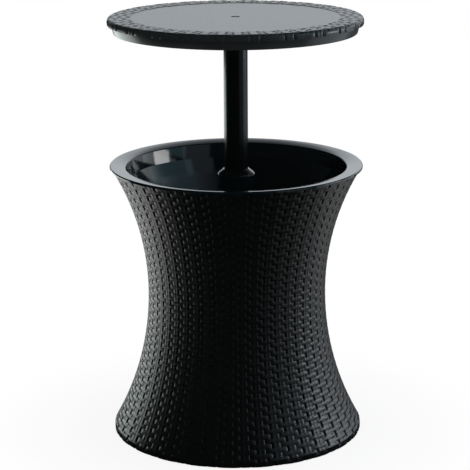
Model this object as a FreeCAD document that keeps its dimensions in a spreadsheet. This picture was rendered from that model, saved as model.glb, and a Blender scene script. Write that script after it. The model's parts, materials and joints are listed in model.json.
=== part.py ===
import FreeCAD, Part
import math
import os
import re

import Sketcher

# Cooler table with a lid that rises on a pole, modelled as it would come apart on a bench.
# Frame: millimetres, +Z up, origin at the centre of the footprint on the floor.
# The lid stands raised, which is the pose at rest. Lengths are real sizes.

doc = FreeCAD.newDocument("cooler_table")

# Driving dimensions: word, size in mm (or a plain count or slope), what it is
SIZES = [
    # hourglass case
    ("total_height", 836, "floor to table top with the lid raised"),
    ("rim_height", 545, "floor to the top of the case rim"),
    ("waist_height", 287, "floor to the waist, where the two skirts meet"),
    ("base_radius", 250, "case at the floor"),
    ("waist_radius", 177.5, "case at the waist"),
    ("rim_radius", 249.5, "outer edge of the rim"),
    ("rim_overhang", 3.5, "rim beyond the upper skirt"),
    ("base_band", 12, "upright band at the foot of the case"),
    ("skirt_wall", 2.5, "wall of both skirts"),
    ("skirt_lift", 1.5, "lower skirt edge above the floor, so that drained water runs out"),
    ("spigot_wall", 3, "ring that centres the upper skirt on the lower one"),
    ("spigot_rise", 12, "spigot above the waist joint"),
    # base plate
    ("plate_thick", 3, "base plate and its ribs"),
    ("plate_lip", 1, "lip around the base plate"),
    ("foot_rib_height", 6, "foot rib that the table stands on"),
    ("foot_rib_radius", 220, "outer face of the foot rib"),
    ("foot_rib_width", 6, "width of the foot rib"),
    ("notch_width", 24, "drain notch through the foot rib"),
    ("notch_height", 3, "drain notch above the floor"),
    ("notch_count", 4, "drain notches"),
    ("post_inset", 18, "screw posts inside the foot of the case"),
    ("post_radius", 6, "screw post"),
    ("post_top", 33, "top of the screw posts above the floor"),
    ("post_web", 3, "web that ties each screw post to the wall"),
    ("base_screw_count", 8, "screws that hold the base plate"),
    # bucket
    ("rim_lip", 4.5, "upright outer lip of the rim"),
    ("rim_width", 28, "flat ring of the rim"),
    ("rim_slope", 4, "fall of the ring towards the bucket"),
    ("rim_round", 1.8, "rounding of the rim's outer edges"),
    ("rim_step", 3.5, "bevelled inner edge of the ring, in and down"),
    ("upright_depth", 32.5, "rim to the foot of the basin's upright wall"),
    ("upright_lean", 6, "how far that wall leans in"),
    ("basin_draft", 18, "how far the basin narrows down to the bucket's mouth"),
    ("basin_depth", 62.5, "rim to the bucket's mouth"),
    ("shoulder_depth", 150, "rim to the foot of the cone under the mouth"),
    ("liner_wall", 2.2, "wall of the bucket liner"),
    ("liner_floor", 195, "floor of the bucket above the ground"),
    ("floor_round", 12, "rounding between bucket floor and wall"),
    ("wall_draft", 0.063, "slope of the bucket walls"),
    ("bucket_gap", 3, "jacket to spigot ring"),
    ("jacket_wall", 2, "wall of the bucket jacket"),
    ("air_gap", 9, "insulating air between liner and jacket"),
    ("jacket_drop", 12, "bucket floor to the underside of the jacket"),
    ("pillar_foot_radius", 44, "central pillar at the bucket floor"),
    ("pillar_head_radius", 36.5, "central pillar at its top"),
    ("pillar_depth", 20, "rim to the top of the pillar"),
    ("locator_drop", 8.5, "rib under the rim that centres it in the upper skirt"),
    # pole and what guides it
    ("pole_radius", 23.5, "lift pole"),
    ("pole_wall", 2, "wall of the lift pole"),
    ("tube_bore", 25, "bore radius of the fixed tube"),
    ("tube_wall", 2, "wall of the fixed tube"),
    ("tube_rise", 4, "fixed tube above the pillar"),
    ("bush_length", 101, "guide bush inside the fixed tube"),
    ("bush_flange", 2, "flange of the bush on the tube's end"),
    ("run_fit", 0.05, "radial clearance of a running fit"),
    ("loose_fit", 0.1, "radial clearance of a pushed-in piece"),
    ("open_fit", 0.4, "radial clearance of a piece that passes through a hole"),
    ("gasket_thick", 1.5, "flat gaskets"),
    ("gasket_inset", 1, "gasket inside the collar's edge"),
    ("collar_radius", 35, "foot of the conical collar"),
    ("collar_edge", 1.5, "upright edge of the collar"),
    ("collar_height", 8.5, "collar above its gasket"),
    ("collar_lip", 1.6, "collar's flat top around the pole"),
    ("sleeve_length", 23.6, "locking sleeve"),
    ("sleeve_bore", 18.5, "bore radius of the locking sleeve"),
    ("sleeve_slot", 4, "slot that lets the sleeve spread"),
    ("end_play", 0.2, "gap above and below the sleeve"),
    ("stop_gap", 0.4, "sleeve to bush with the lid raised"),
    ("cam_radius", 17, "locking cam"),
    ("cam_offset", 1.2, "cam's throw"),
    ("keeper_radius", 21, "disc that keeps the sleeve on the pole foot"),
    ("keeper_thick", 4, "keeper disc and foot shoulder"),
    ("plug_length", 30, "foot plug inside the pole"),
    # fixed tube's foot
    ("socket_flange", 60, "tube foot's flange"),
    ("socket_flange_thick", 5, "tube foot's flange"),
    ("socket_wall", 6, "tube foot's hub"),
    ("socket_height", 51, "tube foot above the base plate"),
    ("socket_ledge", 3, "ledge that the tube stands on"),
    ("pin_height", 31, "cross pin above the base plate"),
    ("pin_radius", 3, "cross pin"),
    ("foot_screw_ring", 46, "screws of the tube foot"),
    ("foot_screw_count", 4, "screws of the tube foot"),
    # drain
    ("drain_ring", 115, "drain from the table's axis"),
    ("drain_turn", 45, "drain's bearing in degrees"),
    ("drain_bore", 9, "bore radius of the drain spout"),
    ("spout_wall", 2.5, "wall of the drain spout"),
    ("spout_flange", 16, "flange radius of the drain spout"),
    ("spout_flange_thick", 2, "flange of the drain spout"),
    ("spout_drop", 25, "spout below the jacket"),
    ("nut_across", 19, "corner radius of the drain nut"),
    ("nut_height", 8, "drain nut"),
    ("pipe_wall", 2, "wall of the drain pipe"),
    ("pipe_grip", 14, "drain pipe over the spout"),
    ("plug_head_radius", 12.5, "drain plug's head"),
    ("plug_head_thick", 3, "drain plug's head"),
    ("plug_knob_radius", 5.5, "drain plug's pull knob"),
    ("plug_neck_radius", 3.5, "neck under the pull knob"),
    ("plug_knob_rise", 12, "pull knob above the head"),
    ("plug_shank", 14, "drain plug inside the spout"),
    ("plug_lift", 0.3, "plug head above the spout flange"),
    # lid
    ("lid_inset", 0.5, "lid edge inside the rim's edge"),
    ("band_height", 13, "woven edge band of the lid"),
    ("lid_height", 30, "whole lid"),
    ("lid_round", 4, "rounding of the lid's top edge"),
    ("lid_wall", 2.5, "walls of the lid"),
    ("panel_radius", 203, "smooth middle panel"),
    ("panel_recess", 1, "smooth panel below the woven border"),
    ("lid_lip", 7.5, "inward lip under the edge band"),
    ("skirt_inset", 12.5, "foot of the lid skirt inside the rim's edge"),
    ("skirt_tuck", 7, "lid skirt inside the edge band"),
    ("tray_recess", 3.5, "lid floor above the foot of its skirt"),
    ("hub_radius", 66, "thick middle of the lid floor"),
    ("hub_thick", 6, "thick middle of the lid floor"),
    ("well_radius", 8.5, "well in the middle of the lid"),
    ("well_depth", 6, "well below the smooth panel"),
    ("flange_radius", 60, "pole flange"),
    ("flange_hub_wall", 4.5, "hub of the pole flange"),
    ("flange_hub_height", 8.5, "hub of the pole flange"),
    ("insert_length", 24, "threaded insert in the pole's top end"),
    ("flange_screw_ring", 46, "screws of the pole flange"),
    ("flange_screw_count", 4, "screws of the pole flange"),
    ("lid_screw_inset", 27, "lid screws inside the lid's edge"),
    ("lid_screw_count", 8, "screws that join the lid"),
    ("lid_post_radius", 5.5, "screw posts under the table top"),
    ("bolt_radius", 4, "centre bolt"),
    ("bolt_head_radius", 6.5, "centre bolt's head"),
    ("bolt_head_height", 2.6, "centre bolt's head"),
    ("bolt_length", 24, "centre bolt below its head"),
    ("cap_wall", 1.3, "centre cap"),
    ("cap_dome", 1.4, "crown of the centre cap"),
    # screws
    ("large_screw", 2.5, "shank radius of the base and foot screws"),
    ("small_screw", 2, "shank radius of the lid and flange screws"),
    ("large_head", 5, "head radius of the large screws"),
    ("small_head", 4, "head radius of the small screws"),
    ("large_head_height", 3, "head height of the large screws"),
    ("small_head_height", 2.6, "head height of the small screws"),
    ("socket_share", 0.45, "screw drive recess, share of the head"),
    ("crown_share", 0.8, "flat top of a screw head, share of the head"),
    ("hole_fit", 0.05, "screw in its threaded hole, radial"),
    ("hole_play", 0.4, "screw in its clearance hole, radial"),
]

# Derived places: word, formula, what it is
PLACES = [
    ("plate_low", "foot_rib_height", "underside of the base plate"),
    ("plate_high", "foot_rib_height + plate_thick", "top of the base plate"),
    ("skirt_top", "rim_height - rim_lip", "upper skirt's top edge"),
    ("skirt_top_radius", "rim_radius - rim_overhang", "upper skirt's top edge"),
    ("lower_flare", "base_radius - waist_radius", "widening below the waist"),
    ("lower_rise", "waist_height - base_band", "height of that widening"),
    ("upper_flare", "skirt_top_radius - waist_radius", "widening above the waist"),
    ("upper_rise", "skirt_top - waist_height", "height of that widening"),
    ("lower_arc", "(lower_flare^2 + lower_rise^2) / (2 * lower_flare)", "radius of the lower curve"),
    ("upper_arc", "(upper_flare^2 + upper_rise^2) / (2 * upper_flare)", "radius of the upper curve"),
    ("spigot_outer", "waist_radius - skirt_wall - open_fit", "spigot ring"),
    ("spigot_inner", "spigot_outer - spigot_wall", "spigot ring"),
    ("jacket_waist", "spigot_inner - bucket_gap", "jacket's outside at the waist"),
    ("liner_waist", "jacket_waist - jacket_wall - air_gap", "liner's outside at the waist"),
    ("shoulder_low", "rim_height - shoulder_depth", "foot of the cone under the bucket's mouth"),
    ("shoulder_high", "rim_height - basin_depth", "bucket's mouth, at the top of that cone"),
    ("ring_inner", "rim_radius - rim_width", "inner edge of the rim ring"),
    ("basin_top", "rim_height - rim_slope - rim_step", "top of the basin's upright wall"),
    ("basin_top_radius", "ring_inner - rim_step", "top of the basin's upright wall"),
    ("upright_low", "rim_height - upright_depth", "foot of the basin's upright wall"),
    ("upright_radius", "basin_top_radius - upright_lean", "foot of the basin's upright wall"),
    ("basin_low_radius", "basin_top_radius - basin_draft", "bucket's mouth"),
    ("bucket_waist", "liner_waist - liner_wall", "bucket's inside at the waist"),
    ("neck_radius", "bucket_waist + (shoulder_low - waist_height) * wall_draft", "bucket under that cone"),
    ("floor_radius", "bucket_waist + (liner_floor - waist_height) * wall_draft", "bucket at its floor"),
    ("jacket_low", "liner_floor - jacket_drop", "underside of the jacket"),
    ("pillar_top", "rim_height - pillar_depth", "top of the central pillar"),
    ("tube_outer", "tube_bore + tube_wall", "outside of the fixed tube"),
    ("tube_top", "pillar_top + tube_rise", "top of the fixed tube"),
    ("bush_low", "tube_top - bush_length", "foot of the guide bush"),
    ("collar_low", "pillar_top + gasket_thick", "foot of the collar"),
    ("sleeve_high", "bush_low - stop_gap", "top of the locking sleeve"),
    ("sleeve_low", "sleeve_high - sleeve_length", "foot of the locking sleeve"),
    ("shoulder_face", "sleeve_high + end_play", "underside of the foot's shoulder"),
    ("pole_low", "shoulder_face + keeper_thick", "lower end of the pole"),
    ("keeper_face", "sleeve_low - end_play", "top of the keeper disc"),
    ("pole_bore", "pole_radius - pole_wall", "bore of the pole"),
    ("lid_radius", "rim_radius - lid_inset", "lid's edge"),
    ("lid_low", "total_height - lid_height", "foot of the lid skirt"),
    ("band_low", "total_height - band_height", "foot of the edge band"),
    ("panel_top", "total_height - panel_recess", "smooth panel's top face"),
    ("panel_low", "total_height - panel_recess - lid_wall", "smooth panel's underside"),
    ("well_floor", "panel_top - well_depth", "floor of the centre well"),
    ("pole_top", "well_floor - lid_wall", "upper end of the pole"),
    ("tray_low", "lid_low + tray_recess", "underside of the lid floor"),
    ("tray_high", "tray_low + lid_wall", "top of the lid floor"),
    ("skirt_low_radius", "rim_radius - skirt_inset", "foot of the lid skirt"),
    ("skirt_high_radius", "lid_radius - lid_lip - hole_play", "lid skirt inside the edge band"),
    ("lid_screw_ring", "lid_radius - lid_screw_inset", "lid screws from the axis"),
    ("flange_high", "tray_high + lid_wall", "top of the pole flange"),
    ("post_ring", "base_radius - post_inset", "base screws from the axis"),
    ("drain_floor", "liner_floor + gasket_thick", "underside of the spout flange"),
    ("spout_low", "jacket_low - spout_drop", "lower end of the drain spout"),
    ("spout_outer", "drain_bore + spout_wall", "outside of the drain spout"),
]

sheet = doc.addObject("Spreadsheet::Sheet", "Sizes")
for row, (word, size, meaning) in enumerate(SIZES + PLACES, start=1):
    sheet.set(f"A{row}", meaning)
    sheet.set(f"B{row}", f"={size}" if isinstance(size, str) else str(size))
    sheet.setAlias(f"B{row}", word)
doc.recompute()

PARTS = []


def bound(formula):
    """A formula in the sheet's words, as an expression that other objects can read."""
    return re.sub(r"[a-z]+(?:_[a-z]+)+", lambda word: "Sizes." + word.group(), formula)


def size(formula):
    """What a formula gives now, in mm."""
    return float(sheet.evalExpression(bound(formula)))


def origin_feature(body, role):
    return next(item for item in body.Origin.OriginFeatures if item.Role == role)


def new_body(label, pieces=1):
    """An empty body that is one sub-part; more than one piece makes it a group of solids."""
    body = doc.addObject("PartDesign::Body", label)
    body.Label = label
    body.AllowCompound = pieces > 1
    PARTS.append(body)
    return body


def new_sketch(body, role="XY_Plane", height=None):
    """A sketch on one of the body's own planes, raised by a formula if height is given."""
    sketch = body.newObject("Sketcher::SketchObject", body.Label + "_sketch")
    sketch.AttachmentSupport = [(origin_feature(body, role), "")]
    sketch.MapMode = "FlatFace"
    if height is not None:
        sketch.setExpression("AttachmentOffset.Base.z", bound(height))
    return sketch


def set_place(sketch, edge, end, across, along):
    """Hold one end of a sketch edge at two formulas, measured from the origin."""
    for kind, formula, axis in (("DistanceX", across, -2), ("DistanceY", along, -1)):
        if size(formula) == 0:
            sketch.addConstraint(Sketcher.Constraint("PointOnObject", edge, end, axis))
            continue
        index = sketch.addConstraint(Sketcher.Constraint(kind, -1, 1, edge, end, size(formula)))
        sketch.setExpression(f"Constraints[{index}]", bound(formula))


def set_radius(sketch, edge, formula):
    index = sketch.addConstraint(Sketcher.Constraint("Radius", edge, size(formula)))
    sketch.setExpression(f"Constraints[{index}]", bound(formula))


def arc_between(start, stop, radius, side):
    """The short arc between two points, its centre to the left (side 1) or right (-1) of the way."""
    half = (stop - start) * 0.5
    rise = math.sqrt(radius ** 2 - half.Length ** 2)
    centre = start + half + FreeCAD.Vector(-half.y, half.x, 0).normalize() * rise * side
    first, last = (start, stop) if side > 0 else (stop, start)
    angles = [math.atan2(point.y - centre.y, point.x - centre.x) for point in (first, last)]
    if angles[1] < angles[0]:
        angles[1] += 2 * math.pi
    return Part.ArcOfCircle(Part.Circle(centre, FreeCAD.Vector(0, 0, 1), radius), *angles)


def draw_outline(sketch, corners, arcs):
    """A closed outline through corners (across, along); arcs maps a corner to (radius, side)."""
    points = [FreeCAD.Vector(size(across), size(along), 0) for across, along in corners]
    ends = []
    for number, start in enumerate(points):
        stop = points[(number + 1) % len(points)]
        if number in arcs:
            radius, side = arcs[number]
            sketch.addGeometry(arc_between(start, stop, size(radius), side), False)
            ends.append((1, 2) if side > 0 else (2, 1))
        else:
            sketch.addGeometry(Part.LineSegment(start, stop), False)
            ends.append((1, 2))
    for number in range(len(points)):
        after = (number + 1) % len(points)
        meeting = (number, ends[number][1], after, ends[after][0])
        sketch.addConstraint(Sketcher.Constraint("Coincident", *meeting))
    for number, (across, along) in enumerate(corners):
        set_place(sketch, number, ends[number][0], across, along)
    for number, (radius, side) in arcs.items():
        set_radius(sketch, number, radius)


def spin(body, corners, arcs=None, cut=False):
    """Turn an outline of (radius, height) corners about the table's axis, as solid or as cut."""
    sketch = new_sketch(body, "XZ_Plane")
    draw_outline(sketch, corners, arcs or {})
    kind = "PartDesign::Groove" if cut else "PartDesign::Revolution"
    feature = body.newObject(kind, body.Label + ("_groove" if cut else "_turned"))
    feature.Profile = sketch
    feature.ReferenceAxis = (sketch, ["V_Axis"])
    feature.Angle = 360
    sketch.Visibility = False
    doc.recompute()
    return feature


def ring_of_pins(label, ring, corners, count):
    """Separate turned pieces, such as screws, spread evenly at a radius from the table's axis."""
    body = new_body(label, pieces=2)
    sketch = new_sketch(body, "XZ_Plane")
    shifted = [(f"{ring} + {across}" if across != "0" else ring, along) for across, along in corners]
    draw_outline(sketch, shifted, {})
    low, high = size(corners[0][1]), size(corners[-1][1])
    axis = sketch.addGeometry(Part.LineSegment(FreeCAD.Vector(size(ring), low, 0),
                                               FreeCAD.Vector(size(ring), high, 0)), True)
    last = len(corners) - 1
    sketch.addConstraint(Sketcher.Constraint("Coincident", axis, 1, 0, 1))
    sketch.addConstraint(Sketcher.Constraint("Coincident", axis, 2, last, 1))
    turned = body.newObject("PartDesign::Revolution", label + "_turned")
    turned.Profile = sketch
    turned.ReferenceAxis = (sketch, ["Axis0"])
    turned.Angle = 360
    sketch.Visibility = False
    doc.recompute()
    spread(body, turned, count)
    return body


def spread(body, feature, count):
    """Repeat a feature evenly about the table's axis."""
    pattern = body.newObject("PartDesign::PolarPattern", feature.Label + "_ring")
    pattern.Originals = [feature]
    pattern.Axis = (origin_feature(body, "Z_Axis"), [""])
    pattern.Angle = 360
    pattern.setExpression("Occurrences", bound(count))
    body.Tip = pattern
    doc.recompute()
    return pattern


def draw_circle(sketch, across, along, radius):
    centre = FreeCAD.Vector(size(across), size(along), 0)
    edge = sketch.addGeometry(Part.Circle(centre, FreeCAD.Vector(0, 0, 1), size(radius)), False)
    set_place(sketch, edge, 3, across, along)
    set_radius(sketch, edge, radius)


def drill(body, across, along, radius, low, high, count=None):
    """A round hole parallel to the axis between two heights; count repeats it about the axis."""
    before = body.Shape.Volume
    sketch = new_sketch(body, height=low)
    draw_circle(sketch, across, along, radius)
    hole = body.newObject("PartDesign::Pocket", body.Label + "_hole")
    hole.Profile = sketch
    hole.Reversed = True
    hole.setExpression("Length", bound(f"{high} - ({low})"))
    sketch.Visibility = False
    doc.recompute()
    if body.Shape.Volume >= before:
        raise RuntimeError(f"a hole in {body.Label} cuts nothing")
    return spread(body, hole, count) if count else hole


def stud(body, across, along, radius, low, high, count=None):
    """A round post parallel to the axis between two heights; count repeats it about the axis."""
    sketch = new_sketch(body, height=low)
    draw_circle(sketch, across, along, radius)
    post = body.newObject("PartDesign::Pad", body.Label + "_post")
    post.Profile = sketch
    post.setExpression("Length", bound(f"{high} - ({low})"))
    sketch.Visibility = False
    doc.recompute()
    return spread(body, post, count) if count else post


def round_edges(body, places, radius):
    """Round the circular edges that lie at the given (radius, height) places."""
    base = body.Tip
    names = []
    for across, along in places:
        for number, edge in enumerate(base.Shape.Edges, start=1):
            box = edge.BoundBox
            flat = box.ZLength < 0.01 and abs(box.ZMin - size(along)) < 0.01
            if flat and abs(box.XMax - size(across)) < 0.01:
                names.append(f"Edge{number}")
    if len(names) < len(places):
        raise RuntimeError(f"an edge to round is missing in {body.Label}")
    fillet = body.newObject("PartDesign::Fillet", body.Label + "_round")
    fillet.Base = (base, names)
    fillet.setExpression("Radius", bound(radius))
    doc.recompute()
    return fillet


# Case

# The case's curves stand upright at the waist, so each centre lies level with it.
LOWER_CENTRE = "(waist_radius + lower_arc)"
UPPER_CENTRE = "(waist_radius + upper_arc)"


def lower_inside(height):
    """Inner face of the lower skirt at a height."""
    return f"{LOWER_CENTRE} - sqrt((lower_arc + skirt_wall)^2 - (waist_height - ({height}))^2)"


def upper_inside(height):
    """Inner face of the upper skirt at a height."""
    return f"{UPPER_CENTRE} - sqrt((upper_arc + skirt_wall)^2 - (({height}) - waist_height)^2)"


def make_base_plate():
    body = new_body("base_plate")
    edge = "base_radius - skirt_wall - open_fit"
    lip = f"{edge} - plate_thick"
    rib = "foot_rib_radius - foot_rib_width"
    spin(body, [("0", "plate_low"), (rib, "plate_low"), (rib, "0"), ("foot_rib_radius", "0"),
                ("foot_rib_radius", "plate_low"), (edge, "plate_low"), (edge, "plate_high + plate_lip"),
                (lip, "plate_high + plate_lip"), (lip, "plate_high"), ("0", "plate_high")])
    for ring, count in (("post_ring", "base_screw_count"), ("foot_screw_ring", "foot_screw_count")):
        drill(body, ring, "0", "large_screw + hole_play", "plate_low", "plate_high", count)
    drill(body, "drain_ring * cos(drain_turn)", "drain_ring * sin(drain_turn)",
          "spout_outer + loose_fit + pipe_wall + loose_fit", "plate_low", "plate_high")
    sketch = new_sketch(body, "YZ_Plane")
    half = "notch_width / 2"
    draw_outline(sketch, [(f"-{half}", "0"), (half, "0"), (half, "notch_height"),
                          (f"-{half}", "notch_height")], {})
    notch = body.newObject("PartDesign::Pocket", "base_plate_notch")
    notch.Profile = sketch
    notch.Reversed = True
    notch.setExpression("Length", bound("foot_rib_radius + foot_rib_width"))
    sketch.Visibility = False
    doc.recompute()
    spread(body, notch, "notch_count")


def make_lower_skirt():
    body = new_body("lower_skirt")
    stud(body, "post_ring", "0", "post_radius", "plate_high", "post_top", "base_screw_count")
    web_low = "plate_high + plate_lip + open_fit"
    web_end = "base_radius - skirt_wall / 2"
    half = "post_web / 2"
    sketch = new_sketch(body, height=web_low)
    draw_outline(sketch, [("post_ring", f"-{half}"), (web_end, f"-{half}"), (web_end, half),
                          ("post_ring", half)], {})
    web = body.newObject("PartDesign::Pad", "lower_skirt_web")
    web.Profile = sketch
    web.setExpression("Length", bound(f"post_top - ({web_low})"))
    sketch.Visibility = False
    doc.recompute()
    spread(body, web, "base_screw_count")
    spin(body, [("base_radius", "skirt_lift"), ("base_radius", "base_band"), ("waist_radius", "waist_height"),
                ("spigot_outer", "waist_height"), ("spigot_outer", "waist_height + spigot_rise"),
                ("spigot_inner", "waist_height + spigot_rise"), ("spigot_inner", "waist_height - skirt_wall"),
                (lower_inside("waist_height - skirt_wall"), "waist_height - skirt_wall"),
                (lower_inside("base_band"), "base_band"), ("base_radius - skirt_wall", "skirt_lift")],
         {1: ("lower_arc", -1), 7: ("lower_arc + skirt_wall", 1)})
    # the webs are trimmed to the case's outer face
    far = "base_radius + post_radius"
    spin(body, [("base_radius", "base_band"), (far, "base_band"), (far, "waist_height"),
                ("waist_radius", "waist_height")], {3: ("lower_arc", 1)}, cut=True)
    drill(body, "post_ring", "0", "large_screw + hole_fit", "plate_high", "post_top - plate_thick",
          "base_screw_count")


def make_upper_skirt():
    body = new_body("upper_skirt")
    spin(body, [("waist_radius", "waist_height"), ("skirt_top_radius", "skirt_top"),
                (upper_inside("skirt_top"), "skirt_top"), ("waist_radius - skirt_wall", "waist_height")],
         {0: ("upper_arc", -1), 2: ("upper_arc + skirt_wall", 1)})


def screw_outline(shank, head, head_height, seat, tip, side="-"):
    """Outline of a pan-head screw about its own axis: head under (-) or over (+) its seat."""
    face = f"{seat} {side} {head_height}"
    middle = f"{face} / 2"
    drive = f"{head} * socket_share"
    return [("0", middle), (drive, middle), (drive, face), (f"{head} * crown_share", face), (head, middle),
            (head, seat), (shank, seat), (shank, tip), ("0", tip)]


def make_base_screws():
    outline = screw_outline("large_screw", "large_head", "large_head_height", "plate_low",
                            "post_top - 2 * plate_thick")
    ring_of_pins("base_screws", "post_ring", outline, "base_screw_count")


# Bucket

def make_bucket_liner():
    body = new_body("bucket_liner")
    locator = f"{upper_inside('skirt_top - locator_drop')} - open_fit"
    shift = "liner_wall"
    ring_low = "rim_height - rim_slope"
    spin(body, [("tube_outer + open_fit", "pillar_top"), ("pillar_head_radius", "pillar_top"),
                ("pillar_foot_radius", "liner_floor"), ("floor_radius", "liner_floor"),
                ("neck_radius", "shoulder_low"), ("basin_low_radius", "shoulder_high"),
                ("upright_radius", "upright_low"),
                ("basin_top_radius", "basin_top"), ("ring_inner - rim_step / 2", ring_low),
                ("ring_inner", ring_low), ("rim_radius - rim_round", "rim_height"),
                ("rim_radius", "rim_height - rim_round"), ("rim_radius", "skirt_top"),
                (locator, "skirt_top"), (locator, "skirt_top - locator_drop"),
                (f"{locator} - {shift}", "skirt_top - locator_drop"),
                (f"{locator} - {shift}", f"{ring_low} - {shift}"),
                (f"ring_inner + {shift}", f"{ring_low} - {shift}"),
                (f"basin_top_radius + {shift}", f"basin_top - {shift}"),
                (f"upright_radius + {shift}", f"upright_low - {shift}"),
                (f"basin_low_radius + {shift}", f"shoulder_high - {shift}"),
                (f"neck_radius + {shift}", f"shoulder_low - {shift}"),
                (f"floor_radius + {shift}", f"liner_floor - {shift}"),
                (f"pillar_foot_radius - {shift}", f"liner_floor - {shift}"),
                (f"pillar_head_radius - {shift}", f"pillar_top - {shift}"),
                ("tube_outer + open_fit", f"pillar_top - {shift}")])
    round_edges(body, [("floor_radius", "liner_floor"), ("pillar_foot_radius", "liner_floor")], "floor_round")
    round_edges(body, [("neck_radius", "shoulder_low"), ("basin_low_radius", "shoulder_high")], "rim_step")
    drill(body, "drain_ring * cos(drain_turn)", "drain_ring * sin(drain_turn)",
          "spout_outer + hole_play", f"liner_floor - {shift}", "liner_floor")


def jacket_outside(height):
    """Outer face of the jacket at a height."""
    return f"jacket_waist + ({height} - waist_height) * wall_draft"


def make_bucket_jacket():
    body = new_body("bucket_jacket")
    # the jacket's upper edge meets the cone under the bucket's mouth
    slope = "(shoulder_high - shoulder_low) / (basin_low_radius - neck_radius)"
    top = f"shoulder_low - liner_wall + (air_gap + jacket_wall - hole_fit) * {slope}"
    edge = f"shoulder_low - liner_wall + (air_gap - hole_fit) * {slope}"
    low, high = jacket_outside("jacket_low"), jacket_outside("shoulder_low")
    collar = "pillar_foot_radius - liner_wall - open_fit"
    collar_top = "liner_floor + jacket_wall"
    spin(body, [(collar, "jacket_low"), (low, "jacket_low"), (high, top), (f"{high} - jacket_wall", edge),
                (f"{low} - jacket_wall", "jacket_low + jacket_wall"), (collar, "jacket_low + jacket_wall"),
                (collar, collar_top), (f"{collar} - jacket_wall", collar_top),
                (f"{collar} - jacket_wall", "jacket_low")])
    drill(body, "drain_ring * cos(drain_turn)", "drain_ring * sin(drain_turn)",
          "spout_outer + hole_play", "jacket_low", "jacket_low + jacket_wall")


# Fixed tube, its foot, bush and collar

def make_guide_tube():
    body = new_body("guide_tube")
    low, high = "plate_high + socket_ledge", "tube_top"
    spin(body, [("tube_bore", low), ("tube_outer", low), ("tube_outer", high), ("tube_bore", high)])
    cross_hole(body, "tube_outer")


def make_tube_foot():
    body = new_body("tube_foot")
    bore = "tube_outer + loose_fit"
    hub = "tube_outer + socket_wall"
    mouth = "tube_bore - socket_ledge"
    face, top = "plate_high + socket_flange_thick", "plate_high + socket_height"
    spin(body, [(mouth, "plate_high"), ("socket_flange", "plate_high"), ("socket_flange", face), (hub, face),
                (hub, top), (bore, top), (bore, "plate_high + socket_ledge"),
                (mouth, "plate_high + socket_ledge")])
    drill(body, "foot_screw_ring", "0", "large_screw + hole_fit", "plate_high", face, "foot_screw_count")
    cross_hole(body, hub)


def cross_hole(body, reach):
    """The cross pin's hole along Y, right through the tube and its foot."""
    before = body.Shape.Volume
    sketch = new_sketch(body, "XZ_Plane")
    draw_circle(sketch, "0", "plate_high + pin_height", "pin_radius + hole_fit")
    hole = body.newObject("PartDesign::Pocket", body.Label + "_cross_hole")
    hole.Profile = sketch
    hole.Midplane = True
    hole.setExpression("Length", bound(f"2 * ({reach}) + 2 * pin_radius"))
    sketch.Visibility = False
    doc.recompute()
    if body.Shape.Volume >= before:
        raise RuntimeError(f"the cross hole in {body.Label} cuts nothing")


def make_tube_pin():
    body = new_body("tube_pin")
    sketch = new_sketch(body, "XZ_Plane")
    draw_circle(sketch, "0", "plate_high + pin_height", "pin_radius")
    pin = body.newObject("PartDesign::Pad", "tube_pin_pad")
    pin.Profile = sketch
    pin.Midplane = True
    pin.setExpression("Length", bound("2 * (tube_outer + socket_wall)"))
    sketch.Visibility = False
    doc.recompute()


def make_foot_screws():
    outline = screw_outline("large_screw", "large_head", "large_head_height", "plate_low",
                            "plate_high + socket_flange_thick - plate_lip")
    ring_of_pins("foot_screws", "foot_screw_ring", outline, "foot_screw_count")


def make_guide_bush():
    body = new_body("guide_bush")
    bore = "pole_radius + run_fit"
    sleeve = "tube_bore - loose_fit"
    spin(body, [(bore, "bush_low"), (sleeve, "bush_low"), (sleeve, "tube_top"), ("tube_outer", "tube_top"),
                ("tube_outer", "tube_top + bush_flange"), (bore, "tube_top + bush_flange")])


def make_collar_gasket():
    body = new_body("collar_gasket")
    spin(body, [("tube_outer + loose_fit", "pillar_top"), ("collar_radius - gasket_inset", "pillar_top"),
                ("collar_radius - gasket_inset", "collar_low"), ("tube_outer + loose_fit", "collar_low")])


def make_pole_collar():
    body = new_body("pole_collar")
    bore = "pole_radius + open_fit"
    top = "collar_low + collar_height"
    socket = "tube_outer + loose_fit"
    ceiling = "tube_top + bush_flange + loose_fit"
    spin(body, [(socket, "collar_low"), ("collar_radius", "collar_low"),
                ("collar_radius", "collar_low + collar_edge"), (f"{bore} + collar_lip", top), (bore, top),
                (bore, ceiling), (socket, ceiling)])


# Drain: these pieces are turned about Z and then set over the drain's axis

DRAIN_X = "drain_ring * cos(drain_turn)"
DRAIN_Y = "drain_ring * sin(drain_turn)"


def set_over_drain(part):
    part.setExpression("Placement.Base.x", bound(DRAIN_X))
    part.setExpression("Placement.Base.y", bound(DRAIN_Y))


def make_drain_spout():
    body = new_body("drain_spout")
    spin(body, [("drain_bore", "spout_low"), ("spout_outer", "spout_low"), ("spout_outer", "drain_floor"),
                ("spout_flange", "drain_floor"), ("spout_flange", "drain_floor + spout_flange_thick"),
                ("drain_bore", "drain_floor + spout_flange_thick")])
    set_over_drain(body)


def make_drain_gasket():
    body = new_body("drain_gasket")
    spin(body, [("spout_outer + loose_fit", "liner_floor"), ("spout_flange", "liner_floor"),
                ("spout_flange", "drain_floor"), ("spout_outer + loose_fit", "drain_floor")])
    set_over_drain(body)


def make_drain_pipe():
    body = new_body("drain_pipe")
    bore = "spout_outer + loose_fit"
    low, high = "plate_low", "spout_low + pipe_grip"
    spin(body, [(bore, low), (f"{bore} + pipe_wall", low), (f"{bore} + pipe_wall", high), (bore, high)])
    set_over_drain(body)


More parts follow.
